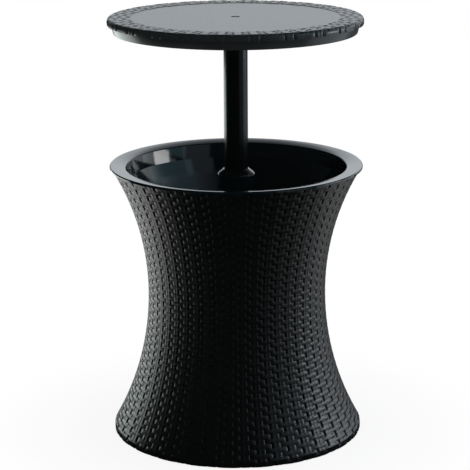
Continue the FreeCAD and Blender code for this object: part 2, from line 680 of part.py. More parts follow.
def make_drain_nut():
    prism = doc.addObject("Part::Prism", "drain_nut_blank")
    prism.Polygon = 6
    prism.setExpression("Circumradius", bound("nut_across"))
    prism.setExpression("Height", bound("nut_height"))
    bore = doc.addObject("Part::Cylinder", "drain_nut_bore")
    bore.setExpression("Radius", bound("spout_outer + loose_fit"))
    bore.setExpression("Height", bound("nut_height"))
    nut = doc.addObject("Part::Cut", "drain_nut")
    nut.Label = "drain_nut"
    nut.Base = prism
    nut.Tool = bore
    nut.setExpression("Placement.Base.z", bound("jacket_low - nut_height"))
    set_over_drain(nut)
    PARTS.append(nut)


def make_drain_plug():
    body = new_body("drain_plug")
    head = "drain_floor + spout_flange_thick + plug_lift"
    face = f"{head} + plug_head_thick"
    shank = "drain_bore - loose_fit"
    spin(body, [("0", f"{head} - plug_shank"), (f"{shank} - spout_wall / 2", f"{head} - plug_shank"),
                (shank, f"{head} - plug_shank / 2"), (shank, head), ("plug_head_radius", head),
                ("plug_head_radius", f"{face} - plug_head_thick / 3"),
                ("plug_head_radius - plug_head_thick / 3", face), ("plug_neck_radius", face),
                ("plug_neck_radius", f"{face} + plug_knob_rise / 2"),
                ("plug_knob_radius", f"{face} + plug_knob_rise * 2 / 3"),
                ("plug_knob_radius", f"{face} + plug_knob_rise * 5 / 6"),
                ("plug_neck_radius", f"{face} + plug_knob_rise"), ("0", f"{face} + plug_knob_rise")])
    set_over_drain(body)


# Lift pole and its lock

def make_lock_sleeve():
    body = new_body("lock_sleeve")
    outer = "tube_bore - run_fit"
    spin(body, [("sleeve_bore", "sleeve_low"), (outer, "sleeve_low"), (outer, "sleeve_high"),
                ("sleeve_bore", "sleeve_high")])
    before = body.Shape.Volume
    sketch = new_sketch(body, height="sleeve_low")
    half = "sleeve_slot / 2"
    draw_outline(sketch, [("cam_radius", f"-{half}"), ("tube_outer", f"-{half}"),
                          ("tube_outer", half), ("cam_radius", half)], {})
    slot = body.newObject("PartDesign::Pocket", "lock_sleeve_slot")
    slot.Profile = sketch
    slot.Reversed = True
    slot.setExpression("Length", bound("sleeve_length"))
    sketch.Visibility = False
    doc.recompute()
    if body.Shape.Volume >= before:
        raise RuntimeError("the slot in lock_sleeve cuts nothing")


def make_pole_foot():
    body = new_body("pole_foot")
    plug = "pole_bore - loose_fit"
    low = "keeper_face - keeper_thick"
    stem = "cam_radius - cam_offset"
    spin(body, [("0", low), ("keeper_radius", low), ("keeper_radius", "keeper_face"), (stem, "keeper_face"),
                (stem, "shoulder_face"), ("pole_radius", "shoulder_face"), ("pole_radius", "pole_low"),
                (plug, "pole_low"), (plug, "pole_low + plug_length"), ("0", "pole_low + plug_length")])
    stud(body, "cam_offset", "0", "cam_radius", "keeper_face", "shoulder_face")


def make_pole():
    body = new_body("pole")
    spin(body, [("pole_bore", "pole_low"), ("pole_radius", "pole_low"), ("pole_radius", "pole_top"),
                ("pole_bore", "pole_top")])


def make_pole_insert():
    body = new_body("pole_insert")
    bore, outer, low = "bolt_radius + hole_fit", "pole_bore - loose_fit", "pole_top - insert_length"
    spin(body, [(bore, low), (outer, low), (outer, "pole_top"), (bore, "pole_top")])


def make_pole_flange():
    body = new_body("pole_flange")
    bore = "pole_radius + loose_fit"
    spin(body, [(bore, "tray_high"), ("flange_radius", "tray_high"), ("flange_radius", "flange_high"),
                (f"{bore} + flange_hub_wall", "flange_high"),
                (f"{bore} + flange_hub_wall", "flange_high + flange_hub_height"),
                (bore, "flange_high + flange_hub_height")])
    drill(body, "flange_screw_ring", "0", "small_screw + hole_play", "tray_high", "flange_high",
          "flange_screw_count")


def make_flange_screws():
    outline = screw_outline("small_screw", "small_head", "small_head_height", "flange_high",
                            "tray_high - hub_thick * 2 / 3", "+")
    ring_of_pins("flange_screws", "flange_screw_ring", outline, "flange_screw_count")


# Lid

def make_lid_lower_shell():
    body = new_body("lid_lower_shell")
    bore = "pole_radius + open_fit"
    hub_low = "tray_high - hub_thick"
    inner = "skirt_low_radius - lid_wall"
    spin(body, [(bore, hub_low), ("hub_radius", hub_low), ("hub_radius", "tray_low"), (inner, "tray_low"),
                (inner, "lid_low"), ("skirt_low_radius", "lid_low"), ("skirt_high_radius", "band_low"),
                ("skirt_high_radius", "band_low + skirt_tuck"),
                ("skirt_high_radius - lid_wall", "band_low + skirt_tuck"),
                ("skirt_high_radius - lid_wall", "band_low"), (inner, "tray_high"), (bore, "tray_high")])
    drill(body, "lid_screw_ring", "0", "small_screw + hole_play", "tray_low", "tray_high", "lid_screw_count")
    drill(body, "flange_screw_ring", "0", "small_screw + hole_fit", "tray_high - hub_thick * 5 / 6",
          "tray_high", "flange_screw_count")


def make_lid_top():
    body = new_body("lid_top")
    bolt = "bolt_radius + hole_play"
    lip = "lid_radius - lid_lip"
    spin(body, [(bolt, "well_floor"), ("well_radius", "well_floor"), ("well_radius", "panel_top"),
                ("panel_radius", "panel_top"), ("panel_radius + panel_recess", "total_height"),
                ("lid_radius", "total_height"), ("lid_radius", "band_low"), (lip, "band_low"),
                (lip, "band_low + lid_wall"), ("lid_radius - lid_wall", "band_low + lid_wall"),
                ("lid_radius - lid_wall", "panel_low"), ("well_radius + lid_wall", "panel_low"),
                ("well_radius + lid_wall", "pole_top"), (bolt, "pole_top")])
    round_edges(body, [("lid_radius", "total_height")], "lid_round")
    stud(body, "lid_screw_ring", "0", "lid_post_radius", "tray_high", "panel_low", "lid_screw_count")
    drill(body, "lid_screw_ring", "0", "small_screw + hole_fit", "tray_high", "panel_low - lid_wall",
          "lid_screw_count")


def make_lid_screws():
    outline = screw_outline("small_screw", "small_head", "small_head_height", "tray_low",
                            "panel_low - 2 * lid_wall")
    ring_of_pins("lid_screws", "lid_screw_ring", outline, "lid_screw_count")


def make_centre_bolt():
    body = new_body("centre_bolt")
    spin(body, screw_outline("bolt_radius", "bolt_head_radius", "bolt_head_height", "well_floor",
                             "well_floor - bolt_length", "+"))


def make_centre_cap():
    body = new_body("centre_cap")
    outer = "well_radius - loose_fit"
    inner = f"{outer} - cap_wall"
    roof = "well_floor + bolt_head_height + loose_fit"
    edge = f"{roof} + cap_wall"
    crown = f"(({outer})^2 + cap_dome^2) / (2 * cap_dome)"
    spin(body, [("0", roof), (inner, roof), (inner, "well_floor"), (outer, "well_floor"), (outer, edge),
                ("0", f"{edge} + cap_dome")], {4: (crown, 1)})


for make in (make_base_plate, make_lower_skirt, make_upper_skirt, make_base_screws, make_bucket_liner,
             make_bucket_jacket, make_guide_tube, make_tube_foot, make_tube_pin, make_foot_screws,
             make_guide_bush, make_collar_gasket, make_pole_collar, make_drain_spout, make_drain_gasket,
             make_drain_pipe, make_drain_nut, make_drain_plug, make_lock_sleeve, make_pole_foot, make_pole,
             make_pole_insert, make_pole_flange, make_flange_screws, make_lid_lower_shell, make_lid_top,
             make_lid_screws, make_centre_bolt, make_centre_cap):
    make()
doc.recompute()

for item in doc.Objects:
    if "Invalid" in item.State or "Error" in item.State:
        raise RuntimeError(f"{item.Label} failed: {item.State}")

os.makedirs("parts", exist_ok=True)
for part in PARTS:
    shape = part.Shape
    if shape.isNull() or not shape.isValid() or not shape.Solids:
        raise RuntimeError(f"{part.Label} has no valid solid")
    shape.exportStep(f"parts/{part.Label}.step")
    box = shape.optimalBoundingBox()
    print(f"{part.Label:18s} {len(shape.Solids)} solid(s) {shape.Volume / 1000:9.1f} cm3"
          f"  z {box.ZMin:7.2f} to {box.ZMax:7.2f}  radius {box.XMax:7.2f}")
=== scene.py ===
# %% [markdown]
# A cooler table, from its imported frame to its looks
#
# The real object is a round patio table of moulded resin. Its case looks like woven rattan, an open ice
# bucket hangs under its rim, and its lid is the table top, which rises on a steel pole. The CAD model
# already holds every piece at its real place and size. This script keeps those pieces as a fixed frame
# and makes the looks: it models each piece that shows as a smooth mesh, puts it where the CAD piece is,
# and gives every piece a material of its own. Loading the frame comes first, because everything after it
# is placed by it.

# %% Load the frame
import json
import math

import bmesh
import bpy
from mathutils import Matrix, Vector


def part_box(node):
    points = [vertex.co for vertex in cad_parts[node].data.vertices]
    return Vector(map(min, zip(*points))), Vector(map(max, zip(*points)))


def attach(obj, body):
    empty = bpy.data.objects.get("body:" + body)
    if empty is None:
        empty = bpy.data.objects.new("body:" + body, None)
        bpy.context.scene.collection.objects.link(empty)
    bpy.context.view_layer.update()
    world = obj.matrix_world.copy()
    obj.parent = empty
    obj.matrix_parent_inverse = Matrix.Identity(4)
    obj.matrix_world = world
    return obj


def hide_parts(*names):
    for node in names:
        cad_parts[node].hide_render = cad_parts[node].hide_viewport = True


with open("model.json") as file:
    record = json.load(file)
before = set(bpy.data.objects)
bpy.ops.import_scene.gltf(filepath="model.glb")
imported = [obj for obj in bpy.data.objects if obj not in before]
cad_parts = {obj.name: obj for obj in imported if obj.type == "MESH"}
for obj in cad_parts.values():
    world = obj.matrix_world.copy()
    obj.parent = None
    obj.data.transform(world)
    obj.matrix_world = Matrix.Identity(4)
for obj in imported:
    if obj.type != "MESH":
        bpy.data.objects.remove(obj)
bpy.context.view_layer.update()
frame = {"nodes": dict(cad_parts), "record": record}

# %% [markdown]
# ## Small helpers
#
# Sizes are written in millimetres, as on a drawing, and a finished mesh is scaled to metres once. Nearly
# every piece of this table is turned: its shape is an outline on one side of the axis, swept once round.
# So one helper draws an outline, with a rounded corner wherever a mould would have one, and another
# spins it. Spinning is chosen over stacking cylinders because it gives one closed skin with even quads,
# which shades smoothly. A closed outline gives a closed piece with a real wall. A long outline spins
# slowly, so only one wedge is spun, and the wedge is copied round.

# %% Draw an outline and spin it
MM = 0.001
ROUND_STEPS = 5
JOIN_WITHIN = 0.0002
SHARP_ANGLE = 32


def draw_outline(shape, corners):
    """Draws a closed outline in front of the axis, of (radius, height) or (radius, height, rounding)."""
    points = [shape.verts.new((0, -corner[0], corner[1])) for corner in corners]
    for start, end in zip(points, points[1:] + points[:1]):
        shape.edges.new((start, end))
    for index, corner in enumerate(corners):
        if len(corner) == 3:
            round_corner(shape, points[index], corner[2])


def round_corner(shape, point, radius):
    """Rounds one corner of an outline. The cut starts where a circle of that radius touches both edges."""
    to_one, to_other = (edge.other_vert(point).co - point.co for edge in point.link_edges)
    reach = radius / math.tan(to_one.angle(to_other) / 2)
    bmesh.ops.bevel(shape, geom=[point], offset=reach, segments=ROUND_STEPS, profile=0.5,
                    affect="VERTICES", material=-1)


def spin_wedge(shape, columns, wedges):
    """Sweeps all that is drawn through one wedge of the full turn."""
    drawn = list(shape.verts) + list(shape.edges)
    bmesh.ops.spin(shape, geom=drawn, cent=(0, 0, 0), axis=(0, 0, 1), dvec=(0, 0, 0),
                   angle=math.tau / wedges, steps=columns // wedges, use_merge=False)


def copy_round(shape, wedges):
    """Copies a wedge round the axis and joins the copies into one closed skin."""
    wedge = bpy.data.meshes.new("wedge")
    shape.to_mesh(wedge)
    step = Matrix.Rotation(math.tau / wedges, 4, "Z")
    for number in range(wedges - 1):
        wedge.transform(step)
        shape.from_mesh(wedge)
    bpy.data.meshes.remove(wedge)
    bmesh.ops.remove_doubles(shape, verts=shape.verts, dist=JOIN_WITHIN)
    bmesh.ops.recalc_face_normals(shape, faces=shape.faces)


def spin_round(shape, columns, wedges=12):
    """Sweeps all that is drawn once round the axis."""
    spin_wedge(shape, columns, wedges)
    copy_round(shape, wedges)


# %% Turn a drawn shape into a finished piece
def finish_piece(name, shape, material, body, nodes, sharp=SHARP_ANGLE):
    """Scales a shape to metres and makes it a piece that rides on a body and stands for its CAD nodes."""
    bmesh.ops.scale(shape, vec=(MM, MM, MM), verts=shape.verts)
    mesh = bpy.data.meshes.new(name)
    shape.to_mesh(mesh)
    shape.free()
    mesh.shade_smooth()
    mesh.set_sharp_from_angle(angle=math.radians(sharp))
    mesh.materials.append(material)
    piece = bpy.data.objects.new(name, mesh)
    bpy.context.scene.collection.objects.link(piece)
    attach(piece, body)
    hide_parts(*nodes)
    low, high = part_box(nodes[0])
    print(name, "faces", len(mesh.polygons), "CAD height", round((high.z - low.z) / MM, 1), "mm")
    return piece


def add_turned(name, corners, columns, material, body, nodes):
    """A turned piece, from its outline to its place on a body."""
    shape = bmesh.new()
    draw_outline(shape, corners)
    spin_round(shape, columns)
    return finish_piece(name, shape, material, body, nodes)


# %% [markdown]
# ## Camera
#
# The photograph was taken from the front with a long lens, a little above the table. The camera was
# fitted to the outlines of the lid, rim, waist and foot. A real camera is seldom quite level, so it also
# gets a very small roll and turn. A matrix from three plain turns is used, because the roll has to come
# before the tilt.

# %% Camera
LENS_MM = 139.4
SENSOR_MM = 36.0
CAMERA_PLACE = Vector((0.0, -3.513, 1.3173))
CAMERA_DOWN = 14.66
CAMERA_LEFT = 0.051
CAMERA_ROLL = -0.33

lens = bpy.data.cameras.new("camera")
lens.sensor_fit = "HORIZONTAL"
lens.sensor_width = SENSOR_MM
lens.lens = LENS_MM
camera = bpy.data.objects.new("camera", lens)
bpy.context.scene.collection.objects.link(camera)
aim = (Matrix.Rotation(math.radians(CAMERA_LEFT), 4, "Z")
       @ Matrix.Rotation(math.radians(90 - CAMERA_DOWN), 4, "X")
       @ Matrix.Rotation(math.radians(CAMERA_ROLL), 4, "Z"))
camera.matrix_world = Matrix.Translation(CAMERA_PLACE) @ aim
bpy.context.scene.camera = camera
bpy.context.scene.view_settings.view_transform = "Standard"
print("camera", [round(value, 3) for value in CAMERA_PLACE])

# %% [markdown]
# ## Material helpers
#
# A colour on screen is stored with a curve, and a shader works in plain light, so one function turns the
# usual hex colour to linear. One more function adds a node with its settings and its links, which keeps
# each material short enough to read. Every grain and mottle is a noise of a real size.

# %% Colours and nodes
SRGB_KNEE = 0.04045
SRGB_SLOPE = 12.92
SRGB_OFFSET = 0.055
SRGB_POWER = 2.4


def colour(code):
    """The linear colour, with alpha, of a hex code such as #1a1b1c."""
    linear = []
    for start in (1, 3, 5):
        part = int(code[start:start + 2], 16) / 255
        curved = ((part + SRGB_OFFSET) / (1 + SRGB_OFFSET)) ** SRGB_POWER
        linear.append(part / SRGB_SLOPE if part <= SRGB_KNEE else curved)
    return (*linear, 1.0)


def add_node(tree, kind, settings, links=()):
    """Adds a shader node. Settings are its inputs or its own properties, and links go into its inputs."""
    made = tree.nodes.new("ShaderNode" + kind)
    for key, value in settings.items():
        if isinstance(key, int) or key in made.inputs:
            made.inputs[key].default_value = value
        else:
            setattr(made, key, value)
    for key, source in dict(links).items():
        tree.links.new(source, made.inputs[key])
    return made


def new_material(name):
    """An empty material with a shader, its node tree and object coordinates."""
    material = bpy.data.materials.new(name)
    material.use_nodes = True
    tree = material.node_tree
    shader = tree.nodes["Principled BSDF"]
    place = add_node(tree, "TexCoord", {}).outputs["Object"]
    return material, tree, shader, place


def add_ramp(tree, amount, stops):
    """Greys along a ramp, from stops of a place and a light."""
    ramp = add_node(tree, "ValToRGB", {}, {"Fac": amount})
    ramp.color_ramp.interpolation = "EASE"
    while len(ramp.color_ramp.elements) < len(stops):
        ramp.color_ramp.elements.new(0.5)
    for element, (place, light) in zip(ramp.color_ramp.elements, stops):
        element.position = place
        element.color = (light, light, light, 1.0)
    return ramp.outputs["Color"]


# %% Speckle, mottle and bump
def noise(tree, place, size_mm, detail=2.0, rough=0.5):
    """A noise whose grains are about size_mm across."""
    return add_node(tree, "TexNoise", {"Scale": 1000.0 / size_mm, "Detail": detail, "Roughness": rough},
                    {"Vector": place}).outputs["Fac"]


def blend_colours(tree, shader, amount, dark, light):
    """Base colour that runs from one hex colour to another with a pattern."""
    ramp = add_node(tree, "Mix", {"data_type": "RGBA"}, {0: amount})
    ramp.inputs[6].default_value = colour(dark)
    ramp.inputs[7].default_value = colour(light)
    tree.links.new(ramp.outputs[2], shader.inputs["Base Color"])


def vary_roughness(tree, shader, amount, low, high):
    """Roughness that runs between two values with a pattern."""
    spread = add_node(tree, "MapRange", {"To Min": low, "To Max": high}, {"Value": amount})
    tree.links.new(spread.outputs["Result"], shader.inputs["Roughness"])


def bump(tree, shader, height, depth_mm, below=None):
    """Tiny relief of a real depth, laid over another relief if there is one."""
    links = {"Height": height}
    if below is not None:
        links["Normal"] = below
    relief = add_node(tree, "Bump", {"Strength": 1.0, "Distance": depth_mm * MM}, links)
    tree.links.new(relief.outputs["Normal"], shader.inputs["Normal"])
    return relief.outputs["Normal"]


# %% [markdown]
# ## Resin with a rattan grain
#
# The case is polypropylene, injected into a tool that was copied from real weaving. The resin is nearly
# black, dyed right through, and the tool leaves fine streaks along each strand, so the gloss is satin
# and a little broken. The strands themselves are modelled. Only the streaks are bump: they run round the
# axis, so the noise is squeezed along height and radius and stretched along the strand. Their real width
# of about 0.3 mm wouldn't show, so they are drawn wider.

# %% Woven resin
STREAK_MM = 0.9
STREAK_LENGTH_MM = 14.0
STREAK_DEPTH_MM = 0.03
SKIN_GRAIN_MM = 0.8
SKIN_DEPTH_MM = 0.008
WOVEN_MOTTLE_MM = 45.0
WOVEN_ROUGHNESS = (0.27, 0.40)
POLYPROPYLENE_IOR = 1.49


def make_woven_resin():
    material, tree, shader, place = new_material("rattan_grain_polypropylene")
    axes = add_node(tree, "SeparateXYZ", {}, {"Vector": place})
    flat = add_node(tree, "CombineXYZ", {}, {"X": axes.outputs["X"], "Y": axes.outputs["Y"]})
    radius = add_node(tree, "VectorMath", {"operation": "LENGTH"}, {0: flat.outputs["Vector"]})
    across = add_node(tree, "Math", {"operation": "ADD"},
                      {0: axes.outputs["Z"], 1: radius.outputs["Value"]})
    stretched = add_node(tree, "Math", {"operation": "MULTIPLY", 1: STREAK_LENGTH_MM / STREAK_MM},
                         {0: across.outputs["Value"]})
    along = add_node(tree, "CombineXYZ", {}, {"X": axes.outputs["X"], "Y": axes.outputs["Y"],
                                              "Z": stretched.outputs["Value"]})
    streaks = noise(tree, along.outputs["Vector"], STREAK_LENGTH_MM, 3.0, 0.6)
    blend_colours(tree, shader, noise(tree, place, WOVEN_MOTTLE_MM), "#050808", "#090d0d")
    vary_roughness(tree, shader, streaks, *WOVEN_ROUGHNESS)
    skin = bump(tree, shader, noise(tree, place, SKIN_GRAIN_MM), SKIN_DEPTH_MM)
    bump(tree, shader, streaks, STREAK_DEPTH_MM, skin)
    shader.inputs["IOR"].default_value = POLYPROPYLENE_IOR
    return material


woven_resin = make_woven_resin()
print("material", woven_resin.name)

# %% [markdown]
# ## Lid resin
#
# The table top is the same polypropylene, but its middle panel and its skirt are plain. A spark-eroded
# tool gives them a fine even stipple, so the panel is matt from above and shines only at a low angle.
# The real stipple is about 0.5 mm across, and it is drawn at 1.2 mm to show at all.

# %% Stippled resin
STIPPLE_MM = 1.2
STIPPLE_DEPTH_MM = 0.015
LID_MOTTLE_MM = 60.0
LID_ROUGHNESS = (0.24, 0.32)


def make_lid_resin():
    material, tree, shader, place = new_material("stippled_polypropylene")
    stipple = noise(tree, place, STIPPLE_MM, 2.0, 0.6)
    blend_colours(tree, shader, noise(tree, place, LID_MOTTLE_MM), "#191d1e", "#1f2324")
    vary_roughness(tree, shader, stipple, *LID_ROUGHNESS)
    bump(tree, shader, stipple, STIPPLE_DEPTH_MM)
    shader.inputs["IOR"].default_value = POLYPROPYLENE_IOR
    return material


lid_resin = make_lid_resin()
print("material", lid_resin.name)

# %% [markdown]
# ## Bucket, collar and pole
#
# The bucket is a thin high-gloss moulding in black resin with a green-blue cast. Polish leaves a very
# slight waviness, which bends the reflections. Below the mouth, where ice and cans would scratch it, the
# tool is left a little matt, and so the roughness rises with depth over a few millimetres. The collar is
# plain black ABS. The pole is a steel tube under baked enamel, which lies on it like a smooth skin with
# a little orange peel. Enamel has an index of about 1.5. Here it is set lower, which makes the strips of
# light on the pole fainter.

# %% Glossy resins and enamel
MATT_BELOW_MM = 476.0
POLISHED_ABOVE_MM = 490.0
MATT_MORE = 0.22
BUCKET_ROUGHNESS = (0.06, 0.12)
POLISH_MM = 9.0
GLOSS_MOTTLE_MM = 80.0
BUCKET_WAVE_MM = 60.0
BUCKET_WAVE_DEPTH_MM = 0.10
BLACK_GLOSS_IOR = 1.5
ENAMEL_IOR = 1.38


def make_gloss(name, dark, light, low, high, wave_mm, wave_depth, ior):
    """A polished dark surface: a faint mottle, a slightly uneven polish and a long shallow waviness."""
    material, tree, shader, place = new_material(name)
    waves = noise(tree, place, wave_mm, 1.0)
    blend_colours(tree, shader, noise(tree, place, GLOSS_MOTTLE_MM), dark, light)
    vary_roughness(tree, shader, noise(tree, place, POLISH_MM, 3.0), low, high)
    bump(tree, shader, waves, wave_depth)
    shader.inputs["IOR"].default_value = ior
    return material


def make_bucket_resin():
    """The rim and basin are polished. Below the mouth the tool is left a little matt."""
    material, tree, shader, place = new_material("polished_polypropylene")
    blend_colours(tree, shader, noise(tree, place, GLOSS_MOTTLE_MM), "#070e10", "#0b1416")
    height = add_node(tree, "SeparateXYZ", {}, {"Vector": place}).outputs["Z"]
    matt = add_node(tree, "MapRange", {"From Min": MATT_BELOW_MM * MM, "From Max": POLISHED_ABOVE_MM * MM,
                                       "To Min": MATT_MORE, "To Max": 0.0}, {"Value": height})
    uneven = add_node(tree, "MapRange", {"To Min": BUCKET_ROUGHNESS[0], "To Max": BUCKET_ROUGHNESS[1]},
                      {"Value": noise(tree, place, POLISH_MM, 3.0)})
    rough = add_node(tree, "Math", {"operation": "ADD"},
                     {0: matt.outputs["Result"], 1: uneven.outputs["Result"]})
    tree.links.new(rough.outputs["Value"], shader.inputs["Roughness"])
    bump(tree, shader, noise(tree, place, BUCKET_WAVE_MM, 1.0), BUCKET_WAVE_DEPTH_MM)
    shader.inputs["IOR"].default_value = BLACK_GLOSS_IOR
    return material


bucket_resin = make_bucket_resin()
collar_resin = make_gloss("polished_black_abs", "#08090a", "#0c0d0e", low=0.05, high=0.10,
                          wave_mm=25.0, wave_depth=0.02, ior=BLACK_GLOSS_IOR)
pole_enamel = make_gloss("baked_black_enamel", "#060909", "#0a0d0d", low=0.17, high=0.24,
                         wave_mm=2.5, wave_depth=0.006, ior=ENAMEL_IOR)
print("materials", bucket_resin.name, collar_resin.name, pole_enamel.name)

# %% [markdown]
# ## Materials of the hidden pieces
#
# Inside the table are moulded ribs, white bearing resin, an aluminium tube, zinc-plated screws and
# rubber. They show only from below or when the plug is out, but each still gets the surface that its
# making gives it: flow marks and fine grain on the moulded resin, draw lines along the tube, a dull
# spangle on zinc, a dusty bloom on rubber.

# %% Hidden resins
FLOW_MARK_MM = 35.0


def make_moulded(name, dark, light, low, high, grain_mm, grain_depth, ior):
    """A plain moulded surface with faint flow marks and an even grain."""
    material, tree, shader, place = new_material(name)
    blend_colours(tree, shader, noise(tree, place, FLOW_MARK_MM, 3.0), dark, light)
    grain = noise(tree, place, grain_mm, 2.0)
    vary_roughness(tree, shader, grain, low, high)
    bump(tree, shader, grain, grain_depth)
    shader.inputs["IOR"].default_value = ior
    return material


hidden_resin = make_moulded("moulded_black_polypropylene", "#101112", "#191a1b", low=0.42, high=0.55,
                            grain_mm=1.5, grain_depth=0.03, ior=POLYPROPYLENE_IOR)
bearing_resin = make_moulded("natural_acetal", "#d8d5ca", "#e4e1d8", low=0.28, high=0.38,
                             grain_mm=1.0, grain_depth=0.01, ior=1.48)
seal_rubber = make_moulded("black_rubber", "#0e0e0f", "#1b1b1c", low=0.6, high=0.8,
                           grain_mm=1.2, grain_depth=0.03, ior=1.52)
print("materials", hidden_resin.name, bearing_resin.name, seal_rubber.name)

# %% Hidden metals
DRAW_LINE_MM = 0.6
DRAW_STRETCH = 0.02


def make_metal(name, dark, light, low, high, size_mm, stretch, depth):
    """A bare metal. A stretch under 1 draws the pattern out along the axis, as a die does."""
    material, tree, shader, place = new_material(name)
    drawn = add_node(tree, "Mapping", {"Scale": (1.0, 1.0, stretch)}, {"Vector": place}).outputs["Vector"]
    lines = noise(tree, drawn, size_mm, 3.0)
    blend_colours(tree, shader, lines, dark, light)
    vary_roughness(tree, shader, lines, low, high)
    bump(tree, shader, lines, depth)
    shader.inputs["Metallic"].default_value = 1.0
    return material


tube_aluminium = make_metal("drawn_aluminium", "#b9bbbd", "#cfd1d3", low=0.25, high=0.38,
                            size_mm=DRAW_LINE_MM, stretch=DRAW_STRETCH, depth=0.01)
screw_steel = make_metal("zinc_plated_steel", "#9fa2a5", "#c4c7ca", low=0.28, high=0.45,
                         size_mm=1.5, stretch=1.0, depth=0.008)
print("materials", tube_aluminium.name, screw_steel.name)

# %% [markdown]
# ## Weave pattern
#
# The weave is a plain one. Pairs of thin upright stakes stand round the case, and flat strands run round
# it in rows. Each strand passes over one pair and under the next, and the row above does the opposite.
# Since it is moulded, it is one skin with hills and valleys, so it is modelled as one closed mesh whose
# points are moved in from the crest. That is lighter than thousands of loose strands, has no hidden ends
# and can't come apart, and every strand still has its crown, its dive beside the stakes and its own
# highlight. The strands are flat and end in a short steep dive, and the stakes lie nearly flush with
# them, so the picture of the weave is drawn by narrow deep crevices beside the stakes. The mould opens
# to the front and the back. On the flanks it can't cut behind a stake, so one of the two crevices of
# each pair fades there. Twelve columns a pair are the fewest that still give a crevice steep sides. The
# strands are nearly flat on the case and on top of the lid, and bulge most on the lid's upright edge.

# %% Weave sizes
ROW_PITCH = 8.3
PAIR_COUNT = 48
PAIR_SPACING = 360 / PAIR_COUNT
COLUMNS_PER_PAIR = 12
COLUMNS = PAIR_COUNT * COLUMNS_PER_PAIR
WEAVE_REPEATS = PAIR_COUNT // 2
STRAND_SWING = 3.2
STRAND_END = 5.4
STRAND_ROUNDING = 0.6
CASE_CROWN = 0.35
LID_CROWN = 1.3
STRAND_IMPRINT = 0.3
ROW_WAVE = 0.05
GROOVE_SHALLOW = 0.9
GROOVE_DEEP = 1.2
STAKE_MIDDLE = 1.15
STAKE_HALF_WIDTH = 0.65
STAKE_CROWN = 1.1
STAKE_VALLEY = 0.6
STAKE_SINK = 0.15
STAKE_BOW = 0.25
DEEPEST = 3.2
CASE_DRAFT = 0.6
COLUMN_STOPS = ((0.0, 0.0), (0.625, 0.6), (1.25, 1.15), (1.875, 1.7), (2.5, 2.05), (3.125, 2.75),
                (3.75, 3.75))
COLUMN_SLACK = 0.001
ROW_STOPS = (-0.36, 0.0, 0.36)
print("weave", PAIR_COUNT, "pairs of stakes", COLUMNS, "columns")


# %% Height of a strand, depth of strand and stake
def strand_lift(pair, row, across=0.0):
    """How high a strand runs at a place counted in stake pairs: 1 at its crest, 0 where it is under."""
    from_crest = abs((pair - row + 1) % 2 - 1) * PAIR_SPACING
    end = STRAND_END - STRAND_ROUNDING * (2 * across) ** 2
    return math.sqrt(1 - min(from_crest / end, 1.0) ** 8)


def between_stakes(pair):
    """1 halfway between the two stakes of a pair, falling to 0 on top of either stake."""
    return max(0.0, 1 - abs(pair - round(pair)) * PAIR_SPACING / STAKE_MIDDLE) ** 2


def strand_depth(pair, row, across, crown):
    """Depth of a row's strand under the crest, in mm. across runs from -0.5 to 0.5 over the row."""
    sag = STRAND_IMPRINT * between_stakes(pair)
    return STRAND_SWING * (1 - strand_lift(pair, row, across)) + crown * abs(2 * across) ** 3 + sag


def stake_depth(pair, across, deepest):
    """Depth of the two stakes at a distance from the middle of their pair, or the deepest beside them."""
    outward = max(0.0, abs(pair - round(pair)) * PAIR_SPACING - STAKE_MIDDLE) / STAKE_HALF_WIDTH
    if outward >= 1:
        return deepest
    side = STAKE_CROWN * (1 - math.sqrt(1 - outward ** 2))
    return STAKE_SINK + side + STAKE_VALLEY * between_stakes(pair) + STAKE_BOW * (2 * across) ** 2


def weave_depth(pair, level, deepest, crown):
    """Depth of the weave. level counts rows: whole in the middle of a row, half in the groove between."""
    row = math.floor(level + 0.5)
    across = level - row
    if across == -0.5:
        step = abs(strand_lift(pair, row) - strand_lift(pair, row - 1))
        return min(GROOVE_SHALLOW + GROOVE_DEEP * step, stake_depth(pair, across, deepest))
    strand = strand_depth(pair, row, across, crown)
    if (round(pair) + row) % 2 == 0:
        return min(strand, deepest)
    return min(strand, stake_depth(pair, across, deepest))


def crevice_depth(offset, angle, draft):
    """The deepest point beside a stake. A mould that opens forward or back can't cut behind a stake."""
    hidden = max(0.0, math.sin(2 * angle) * math.copysign(1.0, offset))
    return DEEPEST * (1 - draft * hidden)


def row_shift(pair, level):
    """How far a point slides across its row, in rows, so that a strand is taller at its crest."""
    row = math.floor(level + 0.5)
    over = strand_lift(pair, row - 1) - strand_lift(pair, row)
    under = strand_lift(pair, row) - strand_lift(pair, row + 1)
    part = level - row + 0.5
    return ROW_WAVE * (over * (1 - part) + under * part)


# %% [markdown]
# A spin makes even columns, but a stake is narrower than the strand beside it. So after the spin each
# column is slid a little to where the pattern turns: stake crest, stake edge, crevice, strand. While the
# outline is drawn, each of its points remembers its level in the weave, the direction in which the
# levels climb there, and its share of the full depth. The memories are layers on the mesh, and the spin
# copies them along. Inward is square to that direction. A strand's bulge fades where the wall lies flat.

# %% Weave a drawn outline
PLAIN = (-1000.0, 0.0, 0.0, 0.0)


def weave_layers(shape):
    """The memories of a point: level, climb as radius and height, and share of the full depth."""
    names = ("level", "climb_radius", "climb_height", "share")
    return [shape.verts.layers.float.new(name) for name in names]


def slide_column(offset):
    """Where a column goes, in degrees from the middle of its stake pair."""
    size = abs(offset)
    for (start, new_start), (end, new_end) in zip(COLUMN_STOPS, COLUMN_STOPS[1:]):
        if size <= end + COLUMN_SLACK:
            part = (size - start) / (end - start)
            return math.copysign(new_start + part * (new_end - new_start), offset)
    return offset


